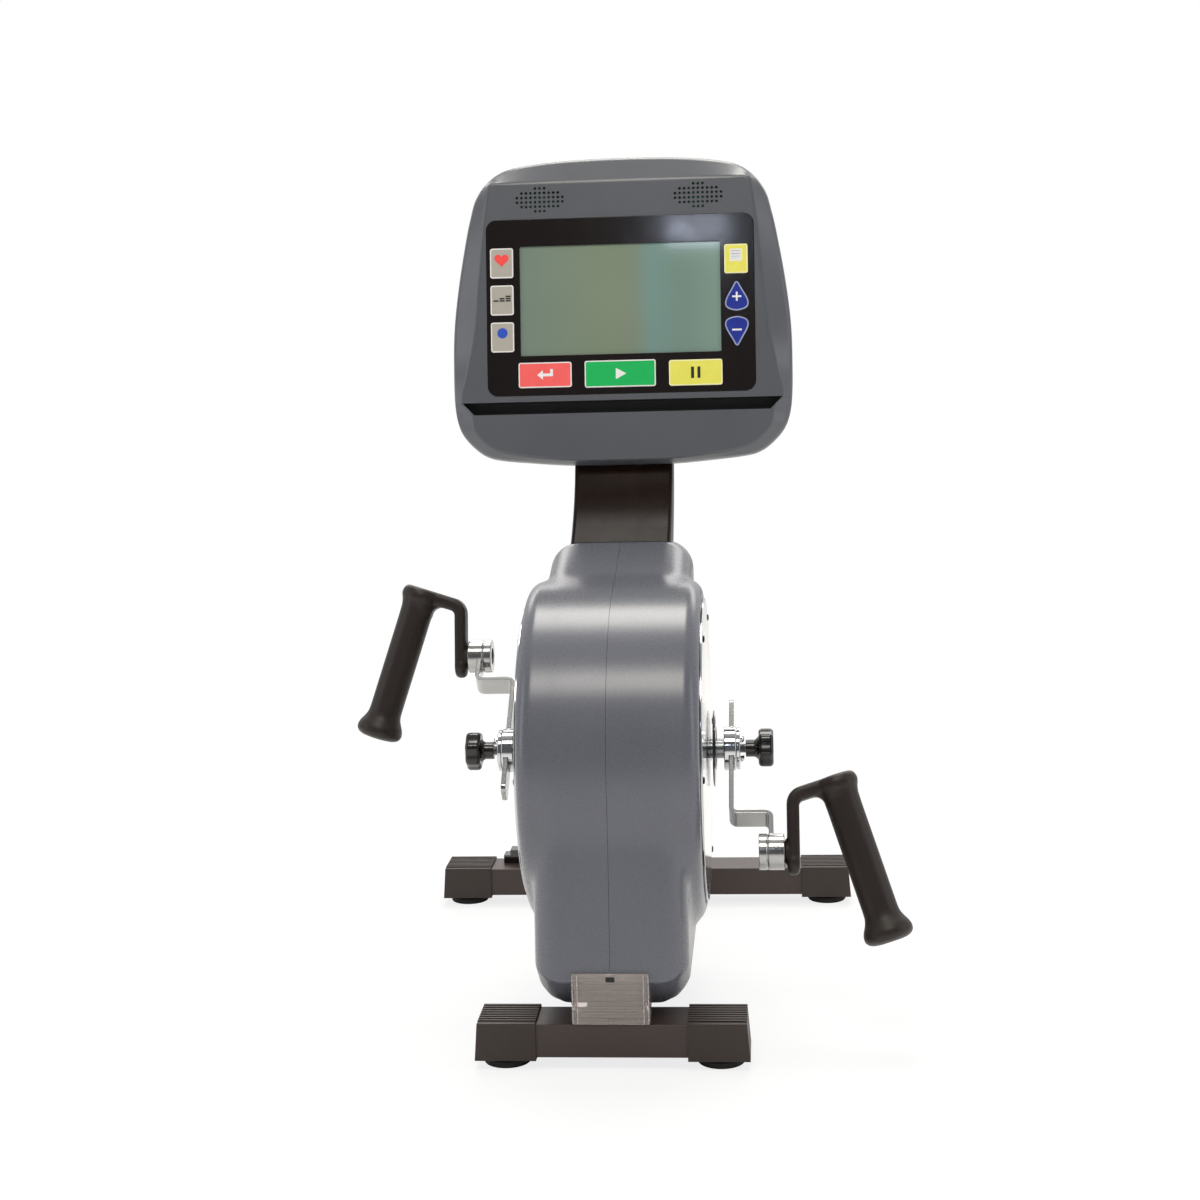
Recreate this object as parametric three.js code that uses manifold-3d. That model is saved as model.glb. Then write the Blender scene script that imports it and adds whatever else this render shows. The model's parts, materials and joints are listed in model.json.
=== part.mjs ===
// Floor-standing arm ergometer. Millimetres, +X to the right as the user faces it, +Y away from
// the user, +Z up. The origin is on the floor, in the middle of the base.
import * as THREE from 'three';
import { mergeVertices } from 'three/addons/utils/BufferGeometryUtils.js';
import Module from 'manifold-3d';

const wasm = await Module();
wasm.setup();

// Driving sizes of the whole machine
const clearance = 0.3; // between pieces that touch or run in each other
const overrun = 6; // how far a cut runs past what it cuts
const baseDepth = 634;
const frontBaseWidth = 275.6;
const rearBaseWidth = 521.2;
const axleBehindFront = 201.6;
const axleHeight = 283.8;
const crankLength = 134.6;
const crankAngle = THREE.MathUtils.degToRad(50.2); // from straight up, left crank leaning back
const handleLean = { left: THREE.MathUtils.degToRad(10.6), right: THREE.MathUtils.degToRad(18) };
const faceTilt = THREE.MathUtils.degToRad(9); // console face, leaning back
const faceBehindFront = 366; // where the console face meets the book slot
const faceHeight = 660;

const frontY = -baseDepth / 2;
const axleY = frontY + axleBehindFront;
const sides = { left: -1, right: 1 };

const finish = (color, roughness, metalness) => (
  new THREE.MeshStandardMaterial({ color, roughness, metalness })
);
const mats = {
  housing: finish('#62666d', 0.45, 0),
  console: finish('#53565d', 0.55, 0),
  frame: finish('#392f2d', 0.5, 0.2),
  rubber: finish('#1d1a19', 0.9, 0),
  grip: finish('#2c221d', 0.85, 0),
  gloss: finish('#120f0e', 0.12, 0),
  chrome: finish('#d5d7d9', 0.12, 1),
  silver: finish('#e3e5e7', 0.08, 1),
  steel: finish('#8f9295', 0.35, 1),
  iron: finish('#4a4c4f', 0.5, 0.9),
  clear: finish('#a59a98', 0.15, 0),
  glass: finish('#76877a', 0.2, 0),
  board: finish('#1d5a35', 0.6, 0),
  grey: finish('#b7b1a6', 0.5, 0),
  red: finish('#ff6a66', 0.5, 0),
  green: finish('#00b85c', 0.5, 0),
  yellow: finish('#ede765', 0.5, 0),
  blue: finish('#1a2f9b', 0.4, 0),
};

// A closed, welded geometry without empty triangles, with its faces turned outwards
function welded(source) {
  const bare = source.index ? source.toNonIndexed() : source.clone();
  bare.deleteAttribute('normal');
  bare.deleteAttribute('uv');
  const merged = mergeVertices(bare);
  const position = merged.attributes.position;
  const corner = [0, 1, 2].map(() => new THREE.Vector3());
  const kept = [];
  let volume = 0;
  for (let i = 0; i < merged.index.count; i += 3) {
    const [a, b, c] = [0, 1, 2].map((k) => merged.index.getX(i + k));
    if (a === b || b === c || c === a) continue;
    [a, b, c].forEach((v, k) => corner[k].fromBufferAttribute(position, v));
    volume += corner[0].dot(corner[1].clone().cross(corner[2]));
    kept.push(a, b, c);
  }
  if (volume < 0) {
    for (let i = 0; i < kept.length; i += 3) [kept[i], kept[i + 1]] = [kept[i + 1], kept[i]];
  }
  merged.setIndex(kept);
  return merged;
}

const solid = (source) => {
  const geometry = welded(source);
  const vertProperties = new Float32Array(geometry.attributes.position.array);
  const triVerts = new Uint32Array(geometry.index.array);
  return new wasm.Manifold(new wasm.Mesh({ numProp: 3, vertProperties, triVerts }));
};

function geometryOf(body) {
  const mesh = body.getMesh();
  const geometry = new THREE.BufferGeometry();
  geometry.setAttribute('position', new THREE.BufferAttribute(new Float32Array(mesh.vertProperties), 3));
  geometry.setIndex([...mesh.triVerts]);
  return geometry;
}

const joined = (first, ...others) => geometryOf(
  others.reduce((body, next) => body.add(solid(next)), solid(first)),
);
const cut = (first, ...others) => geometryOf(
  others.reduce((body, next) => body.subtract(solid(next)), solid(first)),
);
const common = (first, second) => geometryOf(solid(first).intersect(solid(second)));

function box([x0, x1], [y0, y1], [z0, z1]) {
  const geometry = new THREE.BoxGeometry(x1 - x0, y1 - y0, z1 - z0);
  return geometry.translate((x0 + x1) / 2, (y0 + y1) / 2, (z0 + z1) / 2);
}

// A cylinder along 'x', 'y' or 'z' from one place to another on its own axis
function cylinder(axis, radius, from, to, segments = 24, endRadius = radius) {
  const geometry = new THREE.CylinderGeometry(endRadius, radius, to - from, segments);
  geometry.translate(0, (from + to) / 2, 0);
  if (axis === 'x') geometry.rotateZ(-Math.PI / 2);
  if (axis === 'z') geometry.rotateX(Math.PI / 2);
  return geometry;
}

// A shape turned about the X axis, from [x, radius] pairs that start and end on the axis or close
function turned(profile, segments = 32) {
  const points = profile.map(([x, radius]) => new THREE.Vector2(radius, x));
  return new THREE.LatheGeometry(points, segments).rotateZ(-Math.PI / 2);
}

// Points of a polygon whose corners [a, b, radius] are rounded by arcs
function rounded(corners, steps = 5) {
  const points = [];
  corners.forEach(([a, b, radius = 0], i) => {
    const here = new THREE.Vector2(a, b);
    if (radius === 0) {
      points.push(here);
      return;
    }
    const [before, after] = [corners.at(i - 1), corners[(i + 1) % corners.length]]
      .map(([c, d]) => new THREE.Vector2(c, d).sub(here).normalize());
    const half = before.angleTo(after) / 2;
    const start = here.clone().addScaledVector(before, radius / Math.tan(half));
    const end = here.clone().addScaledVector(after, radius / Math.tan(half));
    const inwards = before.clone().add(after).normalize();
    const centre = here.clone().addScaledVector(inwards, radius / Math.sin(half));
    const first = start.clone().sub(centre).angle();
    let sweep = end.clone().sub(centre).angle() - first;
    if (sweep > Math.PI) sweep -= 2 * Math.PI;
    if (sweep < -Math.PI) sweep += 2 * Math.PI;
    for (let k = 0; k <= steps; k++) {
      const angle = first + (sweep * k) / steps;
      const ray = new THREE.Vector2(Math.cos(angle), Math.sin(angle));
      points.push(ray.multiplyScalar(radius).add(centre));
    }
  });
  return points;
}

const rectangle = (width, height, radius, [a, b] = [0, 0], steps = 4) => rounded([
  [a - width / 2, b - height / 2, radius], [a + width / 2, b - height / 2, radius],
  [a + width / 2, b + height / 2, radius], [a - width / 2, b + height / 2, radius],
], steps);

// Outlines pushed out along an axis: 'x' takes [y, z] points, 'y' takes [x, z], 'z' takes [x, y]
function pushed(axis, points, from, to, edge = 0, inset = 0, edgeSteps = 3) {
  const soft = edge > inset;
  const geometry = new THREE.ExtrudeGeometry(new THREE.Shape(points), {
    depth: to - from - (soft ? 2 * edge : 0),
    bevelEnabled: soft || inset > 0,
    bevelThickness: soft ? edge - inset : 0,
    bevelSize: soft ? edge - inset : 0,
    bevelOffset: soft ? -edge : -inset,
    bevelSegments: edgeSteps,
    steps: 1,
  });
  geometry.translate(0, 0, axis === 'y' ? -to + (soft ? edge : 0) : from + (soft ? edge : 0));
  const [right, back, up] = [[1, 0, 0], [0, 1, 0], [0, 0, 1]].map((way) => new THREE.Vector3(...way));
  const basis = new THREE.Matrix4();
  if (axis === 'x') basis.makeBasis(back, up, right);
  if (axis === 'y') basis.makeBasis(right, up, back.negate());
  return geometry.applyMatrix4(basis);
}

const mirrored = (source, side) => (side < 0 ? source.clone().scale(-1, 1, 1) : source.clone());

function piece(parent, name, geometry, material) {
  const mesh = new THREE.Mesh(welded(geometry), material);
  mesh.name = name;
  parent.add(mesh);
  return mesh;
}

const machine = new THREE.Group();
const atAxle = new THREE.Group();
atAxle.position.set(0, axleY, axleHeight);
machine.add(atAxle);
const atFace = new THREE.Group();
atFace.position.set(0, frontY + faceBehindFront, faceHeight);
atFace.rotation.x = -faceTilt;
machine.add(atFace);

// Base: two cross tubes with grooved end caps on rubber feet
const cap = {
  length: 62, depth: 60.3, height: 40.1, lean: 3.2, grooves: 8, grooveDepth: 1.3, grooveEdge: 4,
  tubeInset: 55,
};
const tube = { depth: 54.3, height: 34, wall: 2.5 };
const foot = { height: 10.3, radius: 24, neckRadius: 17, neckHeight: 3.5, inFront: 29.7, inRear: 29.9 };
const base = {
  front: { width: frontBaseWidth, middleY: frontY + cap.depth / 2, footInset: foot.inFront },
  rear: { width: rearBaseWidth, middleY: -frontY - cap.depth / 2, footInset: foot.inRear },
};
const capMiddleZ = foot.height + cap.height / 2;
const tubeTop = capMiddleZ + tube.height / 2;

function capSection() {
  const [halfDepth, halfHeight] = [cap.depth / 2, cap.height / 2];
  const grooveFloor = halfHeight - cap.grooveDepth;
  const points = [[-halfDepth, -halfHeight], [halfDepth, -halfHeight], [halfDepth, grooveFloor]];
  const pitch = (cap.depth - 2 * cap.grooveEdge) / cap.grooves;
  for (let i = 0; i < cap.grooves; i++) {
    const y = halfDepth - cap.grooveEdge - i * pitch;
    points.push([y, halfHeight], [y - pitch / 2, halfHeight], [y - pitch / 2, grooveFloor]);
    if (i < cap.grooves - 1) points.push([y - pitch, grooveFloor]);
  }
  points.push([-halfDepth, grooveFloor]);
  return points.map(([y, z]) => new THREE.Vector2(y, z));
}

function tubeBar(length, depth, height, wall) {
  const outer = box([-length / 2, length / 2], [-depth / 2, depth / 2], [-height / 2, height / 2]);
  const inner = box(
    [-length / 2 - overrun, length / 2 + overrun],
    [-depth / 2 + wall, depth / 2 - wall],
    [-height / 2 + wall, height / 2 - wall],
  );
  return cut(outer, inner);
}

const footProfile = [
  [0, 0], [0, foot.radius - foot.neckHeight / 2], [foot.neckHeight / 2, foot.radius],
  [foot.height - foot.neckHeight, foot.radius], [foot.height - clearance, foot.neckRadius],
  [foot.height - clearance, 0],
];
for (const [place, bar] of Object.entries(base)) {
  const inner = bar.width / 2 - cap.length;
  const tubeLength = 2 * (inner + cap.tubeInset);
  const bareTube = tubeBar(tubeLength, tube.depth, tube.height, tube.wall);
  const tubePiece = piece(machine, `${place}_base_tube`, bareTube, mats.frame);
  tubePiece.position.set(0, bar.middleY, capMiddleZ);
  for (const [name, side] of Object.entries(sides)) {
    const outer = bar.width / 2;
    const block = pushed('x', capSection(), inner, outer);
    const socket = box(
      [inner - overrun, inner + cap.tubeInset + clearance],
      [-tube.depth / 2 - clearance, tube.depth / 2 + clearance],
      [-tube.height / 2 - clearance, tube.height / 2 + clearance],
    );
    const leanCut = pushed('y', [
      [outer, -cap.height / 2], [outer + overrun, -cap.height / 2],
      [outer + overrun, cap.height], [outer - 1.5 * cap.lean, cap.height],
    ].map(([x, z]) => new THREE.Vector2(x, z)), -cap.depth, cap.depth);
    const capShape = mirrored(cut(block, socket, leanCut), side);
    const capPiece = piece(machine, `${place}_${name}_end_cap`, capShape, mats.rubber);
    capPiece.position.set(0, bar.middleY, capMiddleZ);
    const footShape = turned(footProfile, 20).rotateY(-Math.PI / 2);
    const footPiece = piece(machine, `${place}_${name}_foot`, footShape, mats.rubber);
    footPiece.position.set(side * (bar.width / 2 - bar.footInset), bar.middleY, 0);
  }
}

// Stepped block with the power socket, on the rear tube
const inlet = {
  fromEnd: 93.6, width: 37, topWidth: 20, fromFront: 33.3, depth: 21, low: 10.2, high: 17, bore: 3,
  boreDepth: 14,
};
const inletFloor = tubeTop + clearance;
const inletFront = base.rear.middleY - cap.depth / 2 + inlet.fromFront;
const inletBack = inletFront + inlet.depth;
const inletShape = cut(
  joined(
    box(
      [-inlet.width / 2, inlet.width / 2], [inletFront, inletBack],
      [inletFloor, inletFloor + inlet.low],
    ),
    box(
      [-inlet.topWidth / 2, inlet.topWidth / 2], [inletFront, inletBack],
      [inletFloor + inlet.low / 2, inletFloor + inlet.high],
    ),
  ),
  cylinder('y', inlet.bore, inletBack - inlet.boreDepth, inletBack + overrun, 16)
    .translate(0, 0, inletFloor + inlet.low),
);
const inletPiece = piece(machine, 'power_inlet', inletShape, mats.gloss);
inletPiece.position.x = inlet.fromEnd - rearBaseWidth / 2;

// Frame: a spine between the base tubes, an upright post with bearing shells, and the mast
const spine = { width: 60, height: 36, wall: 2.5, tabThickness: 3, tabLength: 44 };
const baseBolt = { radius: 5, headRadius: 9, headHeight: 3.2, nutRadius: 9, nutHeight: 7, rise: 3 };
const tubeBottom = capMiddleZ - tube.height / 2;
const spineReach = -frontY - cap.depth / 2 - tube.depth / 2 - clearance;
const tabTop = tubeBottom - clearance;
const boltY = spineReach + clearance + spine.tabLength / 2;

function spineShape() {
  const body = tubeBar(2 * spineReach, spine.width, spine.height, spine.wall).rotateZ(Math.PI / 2);
  body.translate(0, 0, tabTop - spine.tabThickness + spine.height / 2);
  const reach = spineReach + spine.tabLength;
  const tabs = [-1, 1].map((end) => box(
    [-spine.width / 2, spine.width / 2],
    end < 0 ? [-reach, -spineReach + overrun] : [spineReach - overrun, reach],
    [tabTop - spine.tabThickness, tabTop],
  ));
  const holes = [-1, 1].map((end) => cylinder('z', baseBolt.radius + clearance, 0, tabTop + overrun, 16)
    .translate(0, end * boltY, 0));
  return cut(joined(body, ...tabs), ...holes);
}
piece(machine, 'spine_tube', spineShape(), mats.frame);
const spineTop = tabTop - spine.tabThickness + spine.height;

// One bolt at each end holds a base tube on the spine's tab, with its nut inside the tube
const headTop = tabTop - spine.tabThickness - clearance;
const nutFrom = tubeBottom + tube.wall + clearance;
for (const [place, bar] of Object.entries(base)) {
  const end = Math.sign(bar.middleY);
  const nutTo = nutFrom + baseBolt.nutHeight;
  const bolt = joined(
    cylinder('z', baseBolt.headRadius, headTop - baseBolt.headHeight, headTop, 6),
    cylinder('z', baseBolt.radius, headTop - baseBolt.headHeight / 2, nutTo + baseBolt.rise, 16),
    cylinder('z', baseBolt.nutRadius, nutFrom, nutTo, 6),
  );
  piece(machine, `${place}_base_bolt`, bolt, mats.steel).position.set(0, end * boltY, 0);
  const tubePiece = machine.getObjectByName(`${place}_base_tube`);
  const hole = cylinder('z', baseBolt.radius + clearance, -tube.height, 0, 16);
  hole.translate(0, end * boltY - bar.middleY, 0);
  tubePiece.geometry = welded(cut(tubePiece.geometry, hole));
}

const crankAxle = {
  radius: 10.5, shellRadius: 27, shellHalf: 36, bearingOuter: 21, bearingWidth: 12, bearingAt: 24,
  sleeveWall: 3,
};
const shaft = {
  behind: 70, below: 71, radius: 7.5, shellRadius: 19.5, shellHalf: 30, bearingOuter: 15,
  bearingWidth: 9, bearingAt: 21, sleeveWall: 2,
};
const flywheel = { radius: 70, from: -74, to: -46, web: 12, rim: 16, hubRadius: 20 };
const post = { width: 36, depth: 50, wall: 3, gusset: 10 };
const brakePivot = { radius: 4, boss: 9, bossReach: 26, reach: 74 };
const yoke = {
  inner: 74, outer: 80, spread: THREE.MathUtils.degToRad(36), middle: THREE.MathUtils.degToRad(222),
};
const yokeEar = { at: 85, angle: THREE.MathUtils.degToRad(189), radius: 9 };
const earPlace = [
  shaft.behind + yokeEar.at * Math.cos(yokeEar.angle),
  -shaft.below + yokeEar.at * Math.sin(yokeEar.angle),
];

// Upright post: everything below is measured from the crank axle
function postShape() {
  const low = spineTop + clearance - axleHeight;
  const column = box([-post.width / 2, post.width / 2], [-post.depth / 2, post.depth / 2], [low, 0]);
  const hollow = box(
    [-post.width / 2 + post.wall, post.width / 2 - post.wall],
    [-post.depth / 2 + post.wall, post.depth / 2 - post.wall],
    [low - overrun, -crankAxle.shellRadius - post.wall],
  );
  const axleShell = cylinder('x', crankAxle.shellRadius, -crankAxle.shellHalf, crankAxle.shellHalf, 24);
  const shaftShell = cylinder('x', shaft.shellRadius, -shaft.shellHalf, shaft.shellHalf, 24)
    .translate(0, shaft.behind, -shaft.below);
  const plate = pushed('x', [
    new THREE.Vector2(0, 0), new THREE.Vector2(0, -shaft.below - shaft.shellRadius),
    new THREE.Vector2(shaft.behind, -shaft.below - shaft.shellRadius),
    new THREE.Vector2(shaft.behind + shaft.shellRadius / 2, -shaft.below),
    new THREE.Vector2(shaft.shellRadius + post.depth / 2, 0),
  ], -post.gusset / 2, post.gusset / 2);
  const pivotBoss = cylinder('x', brakePivot.boss, -brakePivot.bossReach - post.width / 2, 0, 20);
  const pivotPin = cylinder('x', brakePivot.radius, -brakePivot.reach, 0, 16);
  [pivotBoss, pivotPin].forEach((part) => part.translate(0, ...earPlace));
  const bores = [crankAxle, shaft].map(({ bearingOuter, shellHalf }) => (
    cylinder('x', bearingOuter + clearance, -shellHalf - overrun, shellHalf + overrun, 24)
  ));
  bores[1].translate(0, shaft.behind, -shaft.below);
  const body = joined(cut(column, hollow), axleShell, shaftShell, plate, pivotBoss, pivotPin);
  return cut(body, ...bores);
}
piece(atAxle, 'main_post', postShape(), mats.frame);

// Bearing cartridge: two bearings joined by a thin sleeve that leaves the shaft free between them
function cartridge({ radius, bearingOuter, bearingWidth, bearingAt, sleeveWall }) {
  const bore = radius + clearance;
  const relief = bearingOuter - sleeveWall;
  const reach = bearingAt + bearingWidth / 2;
  const inner = bearingAt - bearingWidth / 2;
  return turned([
    [-reach, bore], [-reach, bearingOuter], [reach, bearingOuter], [reach, bore], [inner, bore],
    [inner, relief], [-inner, relief], [-inner, bore], [-reach, bore],
  ], 24);
}
piece(atAxle, 'axle_cartridge', cartridge(crankAxle), mats.steel);
const atShaft = [0, shaft.behind, -shaft.below];
piece(atAxle, 'shaft_cartridge', cartridge(shaft), mats.steel).position.set(...atShaft);

// Sizes of the housing: its drum runs round the flywheel, and the body carries the neck
const housing = {
  aroundWheel: 12.3, bodyHalf: 78, drumHalf: 92, bodyEdge: 32, drumEdge: 17, wall: 3, lowCorner: 42,
  frontFoot: 196.6, frontFootDrop: 193.8, floorDrop: 229.5, floorFront: 153.6, floorIn: 56,
  backOut: 2, topOver: 24, backDrop: 60, backCorner: 36, sideLedge: 38,
};
const shoulder = THREE.MathUtils.degToRad(15.6);
const drumRadius = Math.hypot(shaft.behind, shaft.below) + flywheel.radius + housing.aroundWheel;

// Mast: a tube from the axle shell up through the neck into the console
const mast = { width: 56, depth: 20, wall: 2.5, kneeBehind: 112, kneeUnder: 2 };
const neck = {
  width: 111.5, footBehind: 91.4, footOver: 32.2, depth: 69, drop: 8, wall: 2.5, bow: 7, topInFace: 20,
  topOutFace: 68, backTop: 57.5, sink: 45,
};
const head = {
  halfWidth: 193.6, top: 271.2, chin: 80.2, rimDepth: 14, parting: 22, depth: 84, wall: 3, backShare: 0.8,
};
const mastInFace = { behind: 44, end: 24 };
const neckFoot = [neck.footBehind, drumRadius + neck.footOver];

const fromFace = (depth, up) => {
  const point = new THREE.Vector3(0, depth, up).applyAxisAngle(new THREE.Vector3(1, 0, 0), -faceTilt);
  return [point.y + frontY + faceBehindFront - axleY, point.z + faceHeight - axleHeight];
};
const mastBend = fromFace(mastInFace.behind, -head.chin - mast.depth);
const mastFoot = [post.depth / 4, crankAxle.shellRadius - mast.depth / 4];
const mastTop = fromFace(mastInFace.behind, mastInFace.end);

// Closed strip of even thickness along a bent line, with round bends
function strip(line, thickness, bendRadius, steps = 4) {
  const offset = (shift) => line.map((point, i) => {
    const at = new THREE.Vector2(...point);
    const along = [line[i - 1], line[i + 1]].map((other, k) => {
      if (!other) return null;
      const way = new THREE.Vector2(...other).sub(at).normalize();
      return k === 0 ? way.negate() : way;
    }).filter(Boolean);
    const mean = along.reduce((sum, way) => sum.clone().add(way)).normalize();
    const spread = shift / mean.dot(along[0]);
    const side = new THREE.Vector2(-mean.y, mean.x).multiplyScalar(spread);
    const inner = along.length === 2 ? Math.sign(along[0].cross(along[1])) * Math.sign(shift) : 0;
    const radius = along.length === 2 ? bendRadius - inner * thickness / 2 : 0;
    return [at.x + side.x, at.y + side.y, radius];
  });
  return rounded([...offset(thickness / 2), ...offset(-thickness / 2).reverse()], steps);
}

const mastKnee = [mast.kneeBehind, drumRadius - mast.kneeUnder];
const mastLine = [mastFoot, mastKnee, mastBend, mastTop];
function mastShape() {
  const halfWidth = mast.width / 2;
  const outer = pushed('x', strip(mastLine, mast.depth, mast.depth), -halfWidth, halfWidth);
  const longer = [
    mastFoot.map((value, i) => value + (value - mastKnee[i]) / 4),
    mastKnee,
    mastBend,
    fromFace(mastInFace.behind, mastInFace.end + overrun),
  ];
  const inner = pushed(
    'x', strip(longer, mast.depth - 2 * mast.wall, mast.depth),
    mast.wall - halfWidth, halfWidth - mast.wall,
  );
  const keepOut = cylinder('x', crankAxle.shellRadius + clearance, -mast.width, mast.width, 28);
  const postTop = box(
    [-post.width / 2 - clearance, post.width / 2 + clearance],
    [-post.depth / 2 - clearance, post.depth / 2 + clearance],
    [-post.depth, clearance],
  );
  return cut(outer, inner, keepOut, postTop);
}
piece(atAxle, 'mast_tube', mastShape(), mats.frame);

// Housing: a narrow body that carries the neck, joined to a wide round drum about the axle

function bodyOutline() {
  const { frontFoot, frontFootDrop } = housing;
  const radius = drumRadius;
  const back = radius + housing.backOut;
  const footAngle = Math.atan2(-frontFootDrop, -frontFoot) + 2 * Math.PI;
  const first = footAngle - Math.acos(radius / Math.hypot(frontFoot, frontFootDrop));
  const last = Math.PI / 2 + shoulder;
  const steps = 10;
  const arc = Array.from({ length: steps + 1 }, (_, i) => {
    const angle = first + ((last - first) * i) / steps;
    return [radius * Math.cos(angle), radius * Math.sin(angle)];
  });
  return rounded([
    [-frontFoot, -frontFootDrop], ...arc, neckFoot,
    [back, radius + housing.topOver, housing.backCorner],
    [back, -housing.backDrop, housing.backCorner],
    [back - housing.floorIn, -housing.floorDrop, housing.backCorner],
    [-housing.floorFront, -housing.floorDrop],
  ], 4).reverse();
}

// The housing's outer form, drawn in by an inset, or let out by a negative one
function housingForm(inset, steps = 36) {
  const { bodyHalf, drumHalf, bodyEdge, drumEdge, lowCorner } = housing;
  const radius = drumRadius;
  const body = pushed('x', bodyOutline(), inset - bodyHalf, bodyHalf - inset, bodyEdge, inset, 2);
  const cornerX = bodyHalf - inset + overrun / 2;
  const floor = inset - housing.floorDrop;
  const front = pushed('y', rounded([
    [-cornerX, floor, lowCorner], [cornerX, floor, lowCorner],
    [cornerX, 2 * radius], [-cornerX, 2 * radius],
  ], 4), -2 * radius, 2 * radius);
  const edge = Array.from({ length: 4 }, (_, i) => {
    const angle = (Math.PI / 2) * (i / 3);
    const soft = drumEdge - inset;
    return [
      drumHalf - drumEdge + soft * Math.cos(angle),
      radius - drumEdge + soft * Math.sin(angle),
    ];
  });
  const profile = [
    [drumHalf - inset, 0], ...edge, ...edge.map(([x, r]) => [-x, r]).reverse(), [inset - drumHalf, 0],
  ];
  return joined(common(body, front), turned(profile, steps));
}

const mastHole = strip(mastLine, mast.depth + 2 * clearance, mast.depth);
const sideHole = drumRadius - housing.sideLedge;
function housingShell() {
  const shell = cut(housingForm(0), housingForm(housing.wall, 24));
  return cut(
    shell,
    cylinder('x', sideHole, -2 * housing.drumHalf, 2 * housing.drumHalf, 32),
    pushed('x', mastHole, -mast.width / 2 - clearance, mast.width / 2 + clearance),
    box(
      [-post.width / 2 - clearance, post.width / 2 + clearance],
      [-post.depth / 2 - clearance, post.depth / 2 + clearance],
      [-2 * housing.floorDrop, -drumRadius / 2],
    ),
  );
}

const wholeShell = housingShell();
for (const [name, side] of Object.entries(sides)) {
  const span = 2 * housing.drumHalf;
  const half = box([clearance / 2, span], [-2 * span, 2 * span], [-2 * span, 2 * span]);
  piece(atAxle, `housing_${name}_shell`, common(wholeShell, mirrored(half, side)), mats.housing);
}

// Round side covers, with holes for their screws, and the flange discs on the axle
const sideCover = {
  fromEdge: 21, rim: 2.2, dome: 3.9, sheet: 1.5, bore: 14, screwIn: 10, screws: 6, screwHole: 2.2,
};
const coverRadius = drumRadius - sideCover.fromEdge;
const coverSeat = housing.drumHalf + clearance;
const domeAt = (share) => coverSeat + sideCover.rim + sideCover.dome * (1 - share ** 2);

const coverScrewHoles = () => Array.from({ length: sideCover.screws }, (_, i) => {
  const hole = cylinder('x', sideCover.screwHole, -2 * coverSeat, 2 * coverSeat, 8);
  hole.translate(0, coverRadius - sideCover.screwIn, 0);
  return hole.rotateX((2 * Math.PI * i) / sideCover.screws);
});

function coverShape() {
  const boreShare = sideCover.bore / coverRadius;
  const outer = [1, 0.6, boreShare].map((share) => [domeAt(share), share * coverRadius]);
  const inner = outer.slice(1).reverse().map(([x, radius]) => [x - sideCover.sheet, radius]);
  const sheet = turned([...outer, ...inner, [coverSeat, coverRadius], outer[0]], 36);
  return cut(sheet, ...coverScrewHoles());
}

for (const [name, side] of Object.entries(sides)) {
  piece(atAxle, `${name}_side_cover`, mirrored(coverShape(), side), mats.silver);
}

// Clear ribbed cover on the front tube, tucked against the housing
const clearCover = {
  width: 76, depth: 26, height: 52, wall: 1.8, inFront: 2.6, ribs: 8, ribPitch: 6, ribHeight: 2.6,
  ribOut: 1, slotWidth: 9, slotHeight: 5.6, slotDrop: 9, pegRadius: 1.5, pegOut: 1.6, pegSpread: 4.8,
  pegRise: 4,
};

function clearCoverShape() {
  const { width, depth, height, wall, ribOut, pegRadius } = clearCover;
  const frontFace = frontY + clearCover.inFront;
  const bottom = tubeTop + clearance;
  const wallAt = (out, low, high) => cut(
    box([-width / 2 - out, width / 2 + out], [frontFace - out, frontFace + depth], [low, high]),
    box(
      [wall - width / 2, width / 2 - wall],
      [frontFace + wall, frontFace + depth + overrun],
      [low - overrun, high + overrun],
    ),
  );
  const ribs = Array.from({ length: clearCover.ribs }, (_, i) => {
    const low = bottom + clearCover.ribPitch * (i + 1 / 2);
    return wallAt(ribOut, low, low + clearCover.ribHeight);
  });
  const pegFront = frontFace - clearCover.pegOut - ribOut;
  const pegs = [-1, 1].map((side) => cylinder('y', pegRadius, pegFront, frontFace + wall / 2, 10)
    .translate((side * clearCover.pegSpread) / 2, 0, bottom + clearCover.pegRise));
  const slotTop = bottom + height - clearCover.slotDrop + clearCover.slotHeight;
  const slot = box(
    [-clearCover.slotWidth / 2, clearCover.slotWidth / 2],
    [frontFace - overrun, frontFace + wall + overrun],
    [slotTop - clearCover.slotHeight, slotTop],
  );
  const keepOut = housingForm(-clearance).translate(0, axleY, axleHeight);
  return cut(joined(wallAt(0, bottom, bottom + height), ...ribs, ...pegs), slot, keepOut);
}
piece(machine, 'clear_ribbed_cover', clearCoverShape(), mats.clear);

// Drive: crank axle with pulley, belt, flywheel and its shaft, and the magnetic brake
const hub = {
  from: 112.8, to: 125.6, radius: 23.2, plateTo: 130, plateRadius: 22.2, screwAt: 16.5, screwRadius: 2.3,
  screwFrom: 115.5, spigot: 8, spigotReach: 4.6, chamfer: 1,
};
const pulley = {
  at: 55.5, radius: 78, web: 5, rimWidth: 15, rimThickness: 8, hubRadius: 18, hubWidth: 20,
};
const belt = { width: 11, thickness: 3 };
const smallPulley = { radius: 17, lip: 20.5, lipWidth: 1.5 };
const flange = { radius: 41, from: 101.2, thickness: 3.1, edge: 1.2 };

const axleReach = hub.from - clearance;
piece(atAxle, 'crank_axle', turned([
  [-axleReach - hub.spigotReach, 0], [-axleReach - hub.spigotReach, hub.spigot], [-axleReach, hub.spigot],
  [-axleReach, crankAxle.radius], [axleReach, crankAxle.radius], [axleReach, hub.spigot],
  [axleReach + hub.spigotReach, hub.spigot], [axleReach + hub.spigotReach, 0],
], 24), mats.steel);

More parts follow.
